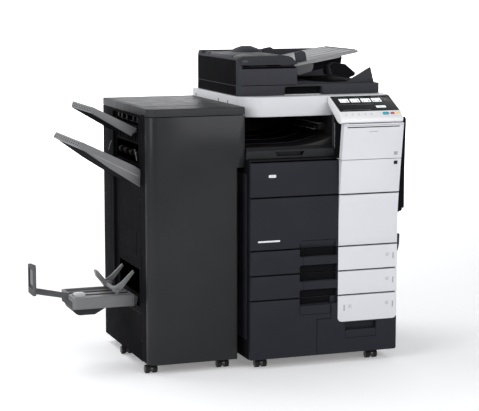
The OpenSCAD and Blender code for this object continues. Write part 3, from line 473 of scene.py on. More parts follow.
def on_column(x, z):
    """Local frame on the column's front face, with its origin at a point."""
    slope = (lean(z + 1) - lean(z - 1)) / 2
    return axes((x, lean(z), z), X, Vector((0, slope, 1)))


SCREEN = axes((0, -22, 1045), X, Vector((0, 115, 55.5)))
NOSE = axes((0, -41, 1025.12), X, Vector((0, 19, 19.88)))


def make_panel():
    tiles = [(427.6, 88, 41, 29), (475.9, 88, 41, 29), (524.5, 88, 41, 29), (572.3, 88, 41, 29),
             (571.5, 34, 43, 16)]
    blocks("screen_tiles", tile_white, 0.15, SCREEN, 0.0, 0.5,
           [(x - w / 2, y - h / 2, x + w / 2, y + h / 2, 2.5) for x, y, w, h in tiles], body="panel")
    marks = []
    for i, (x, y, w, h) in enumerate(tiles[:4]):
        left, right, low, high = x - w / 2, x + w / 2, y - h / 2, y + h / 2
        marks.append(oblong(left + 4, high - 6, right - 4, high - 4.6, 0.6))
        marks.append(oblong(right - 13, low + 4, right - 5, low + 13, 1.5))
        marks.append(ring(left + 8, low + 8, 3 + i * 0.5, 16))
    marks += [oblong(560, 31.5, 583, 33.0, 0.6), oblong(560, 35.0, 576, 36.5, 0.6)]
    shapes("screen_marks", label_grey, 0.1, SCREEN, 0.3, 0.62, marks, body="panel")
    lines = [(oblong(395, 12, 520, 13.2, 0.5), 0.0, 0.35, SCREEN),
             (oblong(395, 56, 545, 56.8, 0.3), 0.0, 0.3, SCREEN)]
    lines += [(ring(600 + 10 * i, 100 - 14 * i, 2.2, 16), 0.0, 0.35, SCREEN) for i in range(2)]
    plates("screen_lines", lines, label_grey, 0.1, body="panel")
    frame_piece("screen_rim", cavity_black, 0.2, SCREEN, 0.0, 0.55, (378.4, 1.4, 640.6, 124.4, 3),
                (381, 4, 638, 121.8, 2), body="panel")
    spots = (396, 424, 452, 480, 508)
    lamps = [oblong(x, 9.5, x + 7, 11.3, 0.8) for x in spots] + [ring(x + 3.5, 16, 1.5, 14) for x in spots]
    shapes("panel_lamps", label_grey, 0.1, NOSE, -0.2, 0.35, lamps, body="panel")
    blocks("power_lamp", amber, 0.3, NOSE, -0.5, 0.9, [(622, 11, 638, 18.5, 3.6)], body="panel")
    blocks("power_rim", scanner_grey, 0.2, NOSE, -0.5, 0.35,
           [(620.6, 9.6, 639.4, 19.9, 4.4)], body="panel")


def make_column():
    blocks("card_slot_lining", cavity_black, 0.2, on_column(516, 983), -11, -9,
           [(-115, -1.6, 115, 1.6, 1.4)])
    blocks("tag_plain_light", label_grey, 0.15, on_column(622, 871), -0.3, 0.5,
           [(-8, -7, 8, 7, 1.6)])
    blocks("tag_plain_dark", cavity_black, 0.15, on_column(624.5, 832), -0.3, 0.5,
           [(-8.5, -7.5, 8.5, 7.5, 1.2)], body="upper_door")
    blocks("reader_mark", label_grey, 0.1, on_column(516, 964), -0.3, 0.35,
           [(-20, -1.2, 20, 1.2, 0.9)])
    blocks("column_top_line", cavity_black, 0.1, on_column(515.5, 990.4), -0.4, 0.25,
           [(-131, -0.6, 131.5, 0.6)])
    heights = (854, 890, 930, 970, 1004)
    side = [(-lean(z) - 28, z) for z in heights] + [(-46, heights[-1]), (-46, heights[0])]
    shapes("column_inner_side", black_and_shade, 0.2, left_side(384), -0.1, 0.5, [side])
    blocks("plain_badge_upper", silver, 0.3, FACE, -0.3, 0.9, [(78, 787, 110, 799, 3.5)],
           body="upper_door")
    blocks("plain_badge_lower", silver, 0.3, FACE, -0.3, 0.8, [(32, 525, 128, 532, 3.2)],
           body="lower_door")


def make_drawer_marks():
    """Paper level gauges and plain size marks on the drawers' white panels."""
    outline = [(-6, -6, 6, -5.2), (-6, 5.2, 6, 6), (-6, -6, -5.2, 6), (5.2, -6, 6, 6)]
    outline += [(-2.5, -3, 2.5, -1.4), (-2.5, 1.4, 2.5, 3)]
    for drawer, gauges, marks in (
        ("drawer_1", [(631, 440)], [(604, 446)]),
        ("drawer_2", [(631, 338)], [(604, 344)]),
        ("drawer_4", [(631, 236), (412, 232)], [(604, 242), (438, 238)]),
    ):
        blocks(drawer + "_level_window", scanner_grey, 0.2, FACE, -0.3, 0.4,
               [(x - 3.4, z - 14, x + 3.4, z + 14, 1.4) for x, z in gauges], body=drawer)
        blocks(drawer + "_level_bars", mark_grey, 0.1, FACE, -0.2, 0.65,
               [(x - 2.5, z - 11.5 + 5.0 * i, x + 2.5, z - 8 + 5.0 * i, 0.5) for x, z in gauges
                for i in range(5)], body=drawer)
        blocks(drawer + "_size_mark", mark_grey, 0.08, FACE, -0.2, 0.35,
               [(x + x0, z + z0, x + x1, z + z1) for x, z in marks for x0, z0, x1, z1 in outline],
               body=drawer)


GRIP_X = 214
SEAM_HALF = 1.3
# Height of each seam between dark fronts, how far right its edges run, and the fronts over and under it.
SEAMS = [(706.4, 383, "upper_door", "lower_door"), (490.8, GRIP_X, "lower_door", "drawer_1"),
         (388.4, GRIP_X, "drawer_1", "drawer_2"), (286.5, GRIP_X, "drawer_2", "drawer_3")]


def make_front_edges():
    """Dark lines of painted shade along the fronts' seams, and the linings and fine outlines of the hand
    grips, painted shade in and around their recesses.
    """
    edges = defaultdict(list)
    for z, right, over, under in SEAMS:
        edges[over].append((1.4, z + SEAM_HALF + 0.1, right, z + SEAM_HALF + 1.8))
        edges[under].append((1.4, z - SEAM_HALF - 1.8, right, z - SEAM_HALF - 0.1))
    edges["lower_door"] += [(222, 522.2, 378, 523.8), (GRIP_X - 1.2, 494, GRIP_X, 515)]
    for drawer, low, high in (("drawer_1", 389.7, 489.5), ("drawer_2", 287.8, 387.1)):
        bar_low = low + 31
        bar_high = bar_low + 35
        edges[drawer].append((228.6, bar_low + 1.5, 229.8, bar_high - 1.5))
        # Painted shade: near-black linings darken the grip recesses.
        blocks(drawer + "_grip_lining", black_and_shade, 0.3, front(19), 0, 0.7,
               [(GRIP_X + 1, low + 0.5, 379, bar_low, 5), (GRIP_X + 1, bar_high, 379, high - 0.5, 5)],
               body=drawer)
    # Painted shade along the seams on the white panels as well.
    pale = defaultdict(list)
    for z, over, under in ((706.4, "upper_door", "lower_door"), (490.8, "lower_door", "drawer_1"),
                           (388.4, "drawer_1", "drawer_2"), (286.5, "drawer_2", "drawer_4")):
        for body, side in ((over, 1), (under, -1)):
            low, high = sorted((side * 2.2, side * 3.1))
            pale[body].append((oblong(-128, low, 129, high), -0.3, 0.12, on_column(516, z)))
    for body, items in pale.items():
        plates(body + "_pale_edge_lines", items, painted_shade_black, 0.05, body=body)
    for front_part, boxes in edges.items():
        blocks(front_part + "_edge_lines", painted_shade_black, 0.08, FACE, -0.2, 0.25, boxes,
               body=front_part)
    # Painted shade: a near-black lining darkens the grip recess.
    blocks("drawer_3_grip_lining", black_and_shade, 0.3, front(19), 0, 0.7,
           [(GRIP_X + 1, 257, 353, 284, 3)], body="drawer_3")
    # Painted shade: dark outlines round the grip recesses.
    for drawer, x0, z0, x1, z1 in (("drawer_3", GRIP_X, 215, 353, 255), ("drawer_4", 417, 105, 558, 141)):
        frame_piece(drawer + "_grip_outline", painted_shade_black, 0.08, FACE, -0.2, 0.25,
                    (x0, z0, x1, z1, 8), (x0 + 1.6, z0 + 1.6, x1 - 1.6, z1 - 1.6, 6.4), body=drawer)


def make_drawer_insides():
    for drawer, x0, x1, z0, tall in (("drawer_1", 40, 610, 398.4, 70), ("drawer_2", 40, 610, 296.5, 70),
                                     ("drawer_3", 40, 258, 64, 198), ("drawer_4", 362, 610, 64, 198)):
        lift = [(oblong(x0 + 6, 60, x1 - 6, 470, 4), z0 + 4.5, z0 + 6.5, PLAN)]
        wide = x1 - x0
        for i in range(3):
            cx = x0 + wide * (0.25 + 0.25 * i)
            lift.append((oblong(cx - 14, 80, cx + 14, 140, 10), z0 + 6.2, z0 + 7.2, PLAN))
        plates(drawer + "_lift_plate", lift, zinc, 0.5, body=drawer)
        guide_top = z0 + tall - 8
        guides = []
        for gx in (x0 + wide * 0.09, x0 + wide * 0.91):
            guides.append((oblong(gx - 2, 120, gx + 2, 430, 1.5), z0 + 6, guide_top, PLAN))
            guides.append((oblong(gx - 11, 180, gx + 11, 380, 6), z0 + 6, z0 + 10, PLAN))
        guides.append((oblong(x0 + wide * 0.35, 478, x0 + wide * 0.65, 483, 2), z0 + 6, guide_top, PLAN))
        plates(drawer + "_paper_guides", guides, feeder_grey, 0.6, body=drawer)
        blocks(drawer + "_guide_knob", lever_green, 0.8, PLAN, guide_top - 16, guide_top + 2,
               [(x0 + wide * 0.46, 470, x0 + wide * 0.54, 478, 3)], body=drawer)


# -------------------------------------------------------------- output cavity

RAMP_X = 200
RAMP_Z = 905
RAMP_R = 449


def ramp(x):
    if x <= RAMP_X:
        return RAMP_Z
    return RAMP_Z + RAMP_R - math.sqrt(RAMP_R**2 - (x - RAMP_X) ** 2)


def make_output():
    xs = [30, 80, 130, 180, 210, 240, 270, 300, 330, 355]
    ribs = []
    for y in (190, 350, 510):
        outline = [(x, ramp(x) - 0.6) for x in xs] + [(x, ramp(x) + 1.8) for x in reversed(xs)]
        ribs.append((outline, -1.6, 1.6, front(y)))
    plates("output_tray_ribs", ribs, blue_black, 0.5)
    turned("output_rollers", rubber_black, 0.3,
           [axes((357, y, 969), Z, X) for y in (190, 260, 330, 400)],
           [(3, -9), (7.5, -8.5), (8, -7), (8, 7), (7.5, 8.5), (3, 9)], 20)
    turned("output_roller_shaft", steel, 0.2, [axes((357, 410, 969), Z, X)],
           [(2.4, -230), (2.4, 20)], 14)
    flap = [(oblong(354, 962, 372, 966, 1.5), -6, 6, front(y)) for y in (225, 295, 365)]
    plates("output_sensor_flaps", flap, tray_grey, 0.5)
    face = [(oblong(345, 957.5, 351.6, 962, 1), -258, -18, front(158))]
    face.append((oblong(352.5, 983, 380, 986.5, 1), -270, 0, front(154)))
    plates("output_exit_trim", face, tray_grey, 0.5)
    blocks("output_corner_post", charcoal_top, 1.0, PLAN, 893, 1022, [(378.5, 52.5, 389, 66, 4)])
    blocks("output_lip_line", inner_black, 0.1, front(48), -0.4, 0.3,
           [(1.5, 889.2, 383, 890.4)])
    blocks("scanner_underside_panel", charcoal, 1.0, PLAN, 1019.5, 1022.9,
           [(20, 140, 360, 600, 10)])


# ------------------------------------------------------------ inside the doors

INNER_FACE = front(36)


def make_inside_doors():
    blocks("toner_bay_face", charcoal_top, 1.0, front(32), 0, 4,
           [(12, 816, 638, 845, 3), (12, 716, 26, 845, 3), (134, 716, 146, 830, 3),
            (254, 716, 266, 830, 3), (374, 716, 386, 830, 3), (494, 716, 638, 830, 3)])
    bm = bmesh.new()
    for i in range(4):
        place = axes((80 + 120 * i, 38, 763.6), X, Z)
        lathe(bm, [(30, -1), (30, 2.2), (27, 4.2), (12, 4.6)], place, 32)
        for k in range(12):
            turn = place @ Matrix.Rotation(k * math.pi / 6, 4, "Z")
            prism(bm, oblong(27.5, -2, 31.5, 2, 1), -1, 2.6, turn)
    finish_piece("toner_caps", bm, toner_white, 0.5)
    blocks("toner_cap_grips", lever_green, 1.0, front(38), 3.5, 9,
           [(80 + 120 * i - 22, 759.6, 80 + 120 * i + 22, 767.6, 3.5) for i in range(4)])
    cover = [(oblong(x0, 502, x1, 700, 8), 0, 6, INNER_FACE) for x0, x1 in ((14, 404), (414, 634))]
    cover += [(oblong(30, z, 388, z + 8, 3), 5, 8, INNER_FACE) for z in (516, 676)]
    plates("inner_covers", cover, charcoal_top, 1.5)
    blocks("jam_levers", lever_green, 1.2, INNER_FACE, 5.5, 11,
           [(440, 596, 520, 612, 7), (180, 596, 250, 610, 6)])
    turned("jam_knobs", lever_green, 0.5,
           [axes((x, 36, z), X, Z) for x, z in ((90, 600), (330, 560), (590, 560))],
           [(15, 5), (15, 9), (13, 11.4), (6, 11.8)], 26)
    spots = [axes((x, 30, z), X, Z) for xs in ((24, 394), (424, 624)) for z in (510, 692) for x in xs]
    screws("inner_cover_screws", spots)


# --------------------------------------------------------------------- feeder

TRAY_SLOPE = math.radians(10)
UP_SLOPE = Vector((math.cos(TRAY_SLOPE), 0, math.sin(TRAY_SLOPE)))
OFF_SLOPE = Vector((-math.sin(TRAY_SLOPE), 0, math.cos(TRAY_SLOPE)))
FEED_TRAY = axes((276, 0, 1222), UP_SLOPE, Y)
FEEDER_FRONT = front(165)
GLASS_TOP = top(1103)


def make_feeder():
    blocks("feeder_tray_ribs", tray_grey, 0.4, FEED_TRAY, 8.6, 10.0,
           [(72, y - 1.6, 276, y + 1.6, 1.5) for y in (236, 300, 372, 438, 506, 572)], body="feeder_tray")
    blocks("feeder_tray_size_ticks", tray_light, 0.1, FEED_TRAY, 8.9, 9.25,
           [(60, y - 0.5, 70, y + 0.5) for y in (236, 258, 280, 302, 324, 346, 462, 484, 506, 528, 550,
                                                 572)], body="feeder_tray")
    blocks("feeder_tray_end_lip", feeder_tray_grey, 1.0, FEED_TRAY, 8.6, 12.0,
           [(284, 244, 289.5, 568, 2.5)], body="feeder_tray")
    cheek = [(-6, -2), (68, -2), (76, -10), (70, -28), (60, -36), (6, -41), (-2, -36)]
    shapes("feeder_tray_cheek_face", arm_grey, 0.6,
           axes((276, 204, 1222), UP_SLOPE, OFF_SLOPE), -0.1, 1.0, [cheek], body="feeder_tray")
    blocks("feeder_cover_lines", inner_black, 0.08, top(1266), -0.2, 0.35,
           [(60, 205, 61.4, 624), (60, 205, 212, 206.4)], body="feeder_cover")
    latch = [(oblong(178, 176, 210, 200, 5), 0, 1.8, top(1265.6)),
             (oblong(183, 180, 205, 190, 3), 1.4, 2.6, top(1265.6))]
    plates("feeder_cover_latch", latch, cavity_black, 0.5, body="feeder_cover")
    blocks("feeder_status_lens", caster_black, 0.4, FEEDER_FRONT, -0.2, 0.9,
           [(26, 1241, 50, 1250, 4)], body="feeder_cover")
    blocks("feeder_separation_pads", tray_grey, 0.8, PLAN, 1196.5, 1204,
           [(246, y, 262, y + 40, 3) for y in (236, 330, 424, 518)], body="feeder")
    blocks("feeder_jam_levers", lever_green, 1.2, PLAN, 1228.4, 1234,
           [(72, 250, 132, 268, 6), (72, 560, 132, 578, 6)], body="feeder")
    blocks("feeder_inner_guide", zinc, 0.5, PLAN, 1228.3, 1230.2, [(72, 290, 134, 540, 6)],
           body="feeder")
    blocks("feeder_exit_bed", black_and_shade, 0.8, PLAN, 1150.5, 1152.8,
           [(300, 232, 596, 590, 14)], body="feeder")
    blocks("feeder_exit_ribs", black_and_shade, 0.4, PLAN, 1152.4, 1154.2,
           [(310, y - 1.5, 588, y + 1.5, 1.4) for y in (262, 320, 378, 436, 494, 552)], body="feeder")
    # Painted shade: a near-black lining darkens the grip recess.
    blocks("feeder_grip_lining", black_and_shade, 0.3, FEEDER_FRONT, -25.6, -24.4,
           [(214, 1108, 374, 1136, 4)], body="feeder")
    # Painted shade: a near-black skin darkens the feeder's left face against its front.
    blocks("feeder_left_face_shade", black_and_shade, 0.4, left_side(4), -0.1, 0.6,
           [(-672, 1147.5, -184, 1249, 6), (-672, 1108, -184, 1144.5, 4)], body="feeder")
    blocks("feeder_front_shadow_band", painted_shade_black, 0.1, FEEDER_FRONT, -0.1, 0.35,
           [(23, 1214, 257, 1221.6, 2), (22, 1145, 258, 1147.2)], body="feeder")
    arm = [(262, 1188), (262, 1213), (293, 1220), (496, 1257), (499, 1250), (495, 1227), (430, 1207),
           (330, 1190)]
    elbow = [(446, 1231), (500, 1223), (545, 1187), (542, 1177), (511, 1164), (441, 1179), (429, 1220)]
    plates("feeder_arm_face", [(arm, -0.1, 0.6, front(250)), (elbow, -0.1, 0.6, front(214))], black_and_shade,
           0.3, body="feeder")
    blocks("feeder_grip_rim", feeder_top, 0.3, FEEDER_FRONT, -0.2, 0.5,
           [(205.5, 1106, 207.5, 1134), (380.5, 1106, 382.5, 1134), (218, 1141.5, 370, 1143)],
           body="feeder")
    blocks("platen_pad", pad_white, 0.6, PLAN, 1103.5, 1105.3, [(52, 182, 508, 508, 6)],
           body="feeder")
    blocks("slit_glass_guide", cavity_black, 0.4, PLAN, 1103.4, 1105.3,
           [(26, 186, 50, 504, 3)], body="feeder")


def make_scanner():
    frame_piece("glass_surround", scanner_grey, 0.2, GLASS_TOP, -0.2, 0.4,
                (53, 183, 507, 507, 6), (60.5, 190.5, 499.5, 499.5, 2))
    ticks = [(58, 200 + 15 * i, 60.2, 200.8 + 15 * i) for i in range(20)]
    ticks += [(70 + 21 * i, 184.5, 70.8 + 21 * i, 187.5) for i in range(20)]
    blocks("size_ticks", inner_black, 0.05, GLASS_TOP, 0.3, 0.6, ticks)
    blocks("carriage_lamp", tile_white, 0.4, PLAN, 1058, 1062, [(82, 188, 88, 662, 2)],
           body="scan_carriage")
    scan_left = (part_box("scanner_housing")[0].x - corner.x) * 1000
    blocks("scanner_side_plugs", cavity_black, 0.2, left_side(scan_left), -0.1, 0.5,
           [(-y - 4, 1070, -y + 4, 1082, 2) for y in (273, 390, 690)])
    slots = [axes((x, 740, 1062), -X, Z) for x in (60, 200, 325, 450, 590)]
    screws("scanner_rear_screws", slots)


# ------------------------------------------------------------------- finisher

# The finisher's planes: its left wall, the face set back in it, its top and its rear.
FIN_SIDE = left_side(-408.6)
FIN_BACK = left_side(-396.6)
FIN_TOP = top(1070.2)
FIN_REAR = 729.9
BOOKLET_TOP = top(290)


def make_finisher():
    bm = bmesh.new()
    frame_bar(bm, oblong(-392, 196, -150, 706, 8), oblong(-390.8, 197.2, -151.2, 704.8, 7), -0.3, 0.25,
              FIN_TOP)
    frame_bar(bm, oblong(-400, 92, -12, 720, 8), oblong(-399, 93, -13, 719, 7), -0.3, 0.2, FIN_TOP)
    finish_piece("finisher_top_lines", bm, inner_black, 0.08)
    blocks("finisher_top_lid", charcoal_top, 0.6, FIN_TOP, -0.3, 0.6, [(-389, 199, -153, 703, 6)])
    low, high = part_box("finisher_door")
    bottom, peak = (low.z - corner.z) * 1000, (high.z - corner.z) * 1000
    # Painted shade: a near-black skin darkens the door's left return like the finisher's shaded side.
    blocks("finisher_door_side_shade", black_and_shade, 0.2, FIN_SIDE, -0.1, 0.4,
           [(-150.5, bottom + 2, -98, peak - 2, 1)], body="finisher_door")
    # The recessed side plates and ribs take the near-black with its painted side shade.
    panels = [(oblong(-548, 440, -214, 800, 5), 0.0, 1.4, FIN_BACK),
              (oblong(-560, 924, -202, 984, 4), 0.0, 1.6, FIN_BACK)]
    panels.append((oblong(-500, 455, -262, 560, 4), 1.2, 2.6, FIN_BACK))
    plates("finisher_side_plates", panels, black_and_shade, 0.6)
    columns = [-262 - 30 * i for i in range(9)]
    blocks("finisher_vent_ribs", black_and_shade, 0.4, FIN_BACK, 1.2, 3.4,
           [(x - 16, z, x - 4, z + 4, 1.5) for x in columns for z in (462, 474)])
    blocks("finisher_face_ribs", black_and_shade, 0.6, FIN_BACK, 1.2, 5.0,
           [(-y - 2, 925, -y + 2, 982, 1.5) for y in range(228, 545, 44)])
    hooks = []
    for y0, y1 in ((591, 640), (248, 212)):
        near = [(y0 + (y1 - y0) * t**0.6, 896 - 44 * t) for t in (0, 0.15, 0.4, 0.7, 1)]
        far = [(y + 2.2 if y1 > y0 else y - 2.2, z + 1.2) for y, z in near]
        hooks.append([(-y, z) for y, z in near] + [(-y, z) for y, z in reversed(far)])
    shapes("finisher_mouth_hooks", tray_light, 0.5, left_side(-410), -2, 1, hooks)
    blocks("finisher_paper_clips", charcoal_top, 0.5, FIN_BACK, -3, 1.5,
           [(-y - 7, 1008, -y + 7, 1024, 2) for y in (240, 300, 396, 470, 520)])
    turned("finisher_upper_rollers", rubber_dark, 0.3,
           [axes((-383, y, 1000), Z, X) for y in (250, 330, 410, 490)],
           [(3, -10), (7, -9.4), (7.6, -8), (7.6, 8), (7, 9.4), (3, 10)], 20)
    turned("finisher_upper_shaft", cavity_black, 0.2, [axes((-383, 380, 1000), Z, X)],
           [(2.4, -180), (2.4, 180)], 14)
    holes = [ring(-631.4, z, 3.4, 18) for z in (525, 700, 300)]
    holes += [ring(-y, z, 2.6, 16)
              for y, z in ((172, 1018), (172, 700), (172, 420), (172, 120), (700, 90), (700, 1000))]
    shapes("finisher_side_holes", inner_black, 0.1, FIN_SIDE, 0.0, 0.5, holes)
    blocks("finisher_side_lines", inner_black, 0.05, FIN_SIDE, 0.0, 0.25,
           [(-728, 232, -170, 233.4), (-594, 236, -592.8, 1034)])
    spots = [axes((x, FIN_REAR, z), -X, Z) for x in (-395, -210, -20) for z in (860, 1020)] + [
        axes((x, FIN_REAR, z), -X, Z) for x in (-395, -210, -50) for z in (60, 330, 600)]
    screws("finisher_rear_screws", spots)
    blocks("finisher_rear_panels", charcoal, 0.6, rear(FIN_REAR), 0, 1.0,
           [(48, 120, 392, 560, 8), (48, 600, 392, 800, 8), (-4, 850, 394, 1040, 8)])


def make_finisher_inside():
    walls = [(oblong(-386, 430, -46, 824, 4), 0, 3, front(112)),
             (oblong(-386, 62, -46, 400, 4), 0, 3, front(120))]
    plates("finisher_inner_plates", walls, zinc, 0.6)
    units = [(oblong(-370, 560, -190, 700, 10), 2, 14, front(112)),
             (oblong(-370, 86, -70, 376, 14), 2, 16, front(120)),
             (oblong(-170, 560, -66, 700, 10), 2, 12, front(112))]
    plates("finisher_inner_units", units, charcoal_top, 2.0)
    grips = [(oblong(-330, 620, -230, 640, 8), 13, 20, front(112)),
             (oblong(-270, 340, -150, 360, 8), 15, 22, front(120)),
             (oblong(-150, 470, -84, 486, 7), 2, 12, front(112)),
             (oblong(-350, 470, -284, 486, 7), 2, 12, front(112))]
    plates("finisher_inner_grips", grips, lever_green, 1.5)
    turned("finisher_inner_knobs", lever_green, 0.6,
           [axes((x, 112, z), X, Z) for x, z in ((-120, 770), (-300, 770), (-210, 470))],
           [(17, 2), (17, 9), (14.5, 12), (7, 12.5)], 28)
    spots = [axes((x, 109, z), X, Z) for x in (-378, -54) for z in (440, 620, 812)] + [
        axes((x, 117, z), X, Z) for x in (-378, -54) for z in (72, 390)]
    screws("finisher_inner_screws", spots)


def slope_frame(x0, z0, x1, z1):
    """Local frame on a tray's upper surface: x runs up the slope, y to the back, z out of it."""
    u = Vector((x1 - x0, 0, z1 - z0)).normalized()
    return axes((x0, 0, z0), u, -Y)


UPPER = slope_frame(-409, 978.6, -578, 1064)
MAIN_LOW = slope_frame(-436, 828.6, -609, 912.8)
MAIN_HIGH = slope_frame(-609, 912.8, -642, 928)


def under_frame(x0, z0, x1, z1):
    """Local frame on a tray's underside: x runs up the slope, y to the back, z down out of it."""
    return axes((x0, 0, z0), Vector((x1 - x0, 0, z1 - z0)), Y)


def make_trays():
    blocks("upper_tray_ribs", tray_grey, 0.5, UPPER, -0.6, 1.6,
           [(20, -y - 2, 176, -y + 2, 1.5) for y in range(236, 521, 47)])
    blocks("upper_tray_pads", arm_grey, 0.5, UPPER, -0.4, 0.9,
           [(136, -y - 30, 180, -y + 30, 5) for y in (262, 482)])
    # Painted shade: a dark plate under the upper tray darkens its underside.
    blocks("upper_tray_underside_shade", tray_shade_dark, 0.4, under_frame(-433.4, 953.3, -596, 1050),
           -0.2, 1.2, [(3, 207, 186, 537, 3)])
    ribs = [(oblong(16, -y - 2, 190, -y + 2, 1.5), -0.6, 1.7, MAIN_LOW) for y in range(190, 561, 46)]
    ribs += [(oblong(2, -y - 2, 34, -y + 2, 1.5), -0.6, 1.7, MAIN_HIGH) for y in range(190, 561, 46)]
    plates("main_tray_ribs", ribs, tray_grey, 0.5, body="main_tray")
    blocks("main_tray_pads", arm_grey, 0.5, MAIN_LOW, -0.4, 1.0,
           [(120, -y - 34, 180, -y + 34, 5) for y in (236, 504)], body="main_tray")
    # Painted shade: dark plates under the main tray darken its underside.
    under = [(oblong(2, 159, 148, 582, 3), -0.2, 1.2, under_frame(-411.5, 752, -537, 833)),
             (oblong(1, 159, 123.5, 582, 3), -0.2, 1.2, under_frame(-537, 833, -638, 906))]
    plates("main_tray_underside_shade", under, tray_shade_dark, 0.4, body="main_tray")
    groove = [(-420, 800), (-540, 862), (-600, 892), (-600, 888), (-540, 857), (-420, 794)]
    shapes("main_tray_side_line", tray_light, 0.2, front(156), 0, 0.5, [groove],
           body="main_tray")
    for name, body, face, first, last in (
        ("upper_tray_end_slots", "machine", axes((-596, 0, 1050), -Y, Vector((6, 0, 25))), 222, 516),
        ("main_tray_end_slots", "main_tray", axes((-665, 0, 922), -Y, Vector((13, 0, 22))), 174, 560),
    ):
        slots = []
        for i in range(12):
            y = first + (last - first) * i / 11
            slots += [(-y - 6, z, -y + 6, z + 4, 1.5) for z in (6, 14)]
        blocks(name, tray_shade_dark, 0.2, face, -0.3, 0.5, slots, body=body)


def make_booklet():
    blocks("booklet_belts", rubber_black, 0.5, BOOKLET_TOP, 0.3, 2.2,
           [(-655, y - 9, -420, y + 9, 4) for y in (270, 332, 394)])
    blocks("booklet_belt_treads", rubber_black, 0.3, BOOKLET_TOP, 2.0, 2.9,
           [(-650 + 12 * i, y - 8, -646 + 12 * i, y + 8, 1) for y in (270, 332, 394) for i in range(19)])
    blocks("booklet_floor_ribs", tray_light, 0.8, BOOKLET_TOP, -0.3, 3.2,
           [(-660, y - 14, -416, y + 14, 3) for y in (301, 363, 422)])
    block = [(oblong(-652, 300, -606, 340, 4), 3.0, 14, BOOKLET_TOP),
             (oblong(-645, 307, -613, 333, 2), 13.6, 17, BOOKLET_TOP)]
    plates("booklet_sensor_block", block, scanner_grey, 1.0)
    blocks("booklet_side_face", tray_grey, 0.6, front(225), 0.0, 1.0,
           [(-660, 260, -430, 299, 6)])
    turns = [math.radians(180 + 82 * i / 8) for i in range(9)]
    belly = [(-642 + 34 * math.cos(a), 264 + 34 * math.sin(a)) for a in turns]
    belly += [(-584, 230.6), (-539, 255.6), (-552, 257.5), (-674, 257.5)]
    shapes("booklet_belly_cover", charcoal, 0.6, front(235), -146, 1, [belly])
    blocks("booklet_end_face", charcoal, 0.5, left_side(-676), -0.1, 0.8,
           [(-424, 257.5, -241, 286, 6)])
    blocks("stopper_window", tray_grey, 0.3, left_side(-820), 0.2, 1.4,
           [(-362, 350, -298, 418, 1)], body="booklet_stopper")
    arm = [(-700, 296), (-806, 321), (-806, 327), (-700, 302)]
    shapes("stopper_arm_face", arm_grey, 0.4, front(316), 0.0, 1.2, [arm],
           body="booklet_stopper")
    blocks("stopper_edge_pads", arm_grey, 0.5, left_side(-826), -1.6, 0.0,
           [(-372, 330, -366, 424, 2), (-294, 330, -288, 424, 2)], body="booklet_stopper")


# --------------------------------------------------------------- sides and back


def make_covers():
    back = rear(740)
    blocks("rear_panels", charcoal, 0.6, back, 0, 1.2,
           [(-640, 60, -330, 560, 8), (-320, 60, -10, 560, 8), (-640, 806, -10, 1010, 8)])
    spots = [axes((x, 741, z), -X, Z) for x in (24, 312, 338, 626) for z in (76, 300, 544)]
    spots += [axes((x, 741, z), -X, Z) for x in (24, 325, 626) for z in (820, 996)]
    screws("rear_screws", spots)
    frame_piece("inlet_rim", inner_black, 0.5, back, 0.4, 3.0, (-602, 88, -558, 120, 3),
                (-598, 92, -562, 116, 2))
    blocks("inlet_floor", inner_black, 0.2, back, -9, -7, [(-599, 91, -561, 117)])
    blocks("inlet_pins", steel, 0.3, back, -8, -1,
           [(x - 1, z - 3, x + 1, z + 3, 0.5) for x, z in ((-588, 101), (-572, 101), (-580, 107))])
    blocks("socket_frames", cavity_black, 0.5, back, 1.0, 3.0,
           [(-150, 330 + 40 * i, -128, 348 + 40 * i, 2) for i in range(3)])
    blocks("socket_openings", steel, 0.2, back, 2.6, 3.3,
           [(-147, 333 + 40 * i, -131, 345 + 40 * i, 1) for i in range(3)])
    blocks("blank_rating_plate", label_grey, 0.2, back, 1.0, 1.8, [(-300, 470, -220, 520, 3)])
    side = right_side(650)
    blocks("right_cover_lines", inner_black, 0.05, side, 0, 0.3,
           [(540, 56, 541.6, 1010), (30, 300, 720, 301.6), (30, 596, 720, 597.6)])
    blocks("right_cover_panels", charcoal, 0.8, side, 0, 1.4,
           [(550, 620, 726, 1000, 8), (60, 320, 526, 580, 8)])
    frame_piece("right_cover_grip_rim", charcoal_top, 1.0, side, 1.2, 4.0,
                (230, 520, 350, 556, 8), (236, 526, 344, 550, 6))
    blocks("right_cover_grip_well", cavity_black, 0.2, side, 1.0, 1.8,
           [(236, 526, 344, 550, 6)])
    spots = [axes((650, y, z), Y, Z) for y in (60, 700) for z in (80, 280)]
    screws("right_cover_screws", spots)
    side = left_side(0)
    blocks("left_cover_panels", blue_black, 0.5, side, 0, 0.8,
           [(-720, 120, -420, 800, 8), (-400, 120, -40, 800, 8)])


def make_side_unit():
    face = axes((683.2, 0, 0), Y, Z)
    frame_piece("side_unit_rim", charcoal_top, 0.5, face, -3.0, -0.6, (10, 634, 514, 1006, 10),
                (36, 641, 484, 1002, 8))
    tilt = axes((678.2, 0, 820), Y, Vector((8.5, 0, 343)))
    blocks("bypass_tray_panel", charcoal_top, 0.8, tilt, 0.2, 1.4, [(60, -150, 460, 140, 12)],
           body="bypass_tray")
    blocks("bypass_tray_ribs", charcoal, 0.5, tilt, 1.0, 2.2,
           [(120 + 56 * i, -140, 124 + 56 * i, 100, 1.5) for i in range(6)], body="bypass_tray")
    inner = axes((664.9, 0, 820), -Y, Z)
    blocks("bypass_guides", tray_grey, 0.5, inner, 0.2, 2.4,
           [(-430, -120, -424, 60, 2), (-96, -120, -90, 60, 2)], body="bypass_tray")
    blocks("side_unit_latch", cavity_black, 0.4, axes((0, 0, 0), Y, Z), 651, 676,
           [(8, 1008.6, 16, 1013.6, 2)])


# --------------------------------------------------------------------- casters

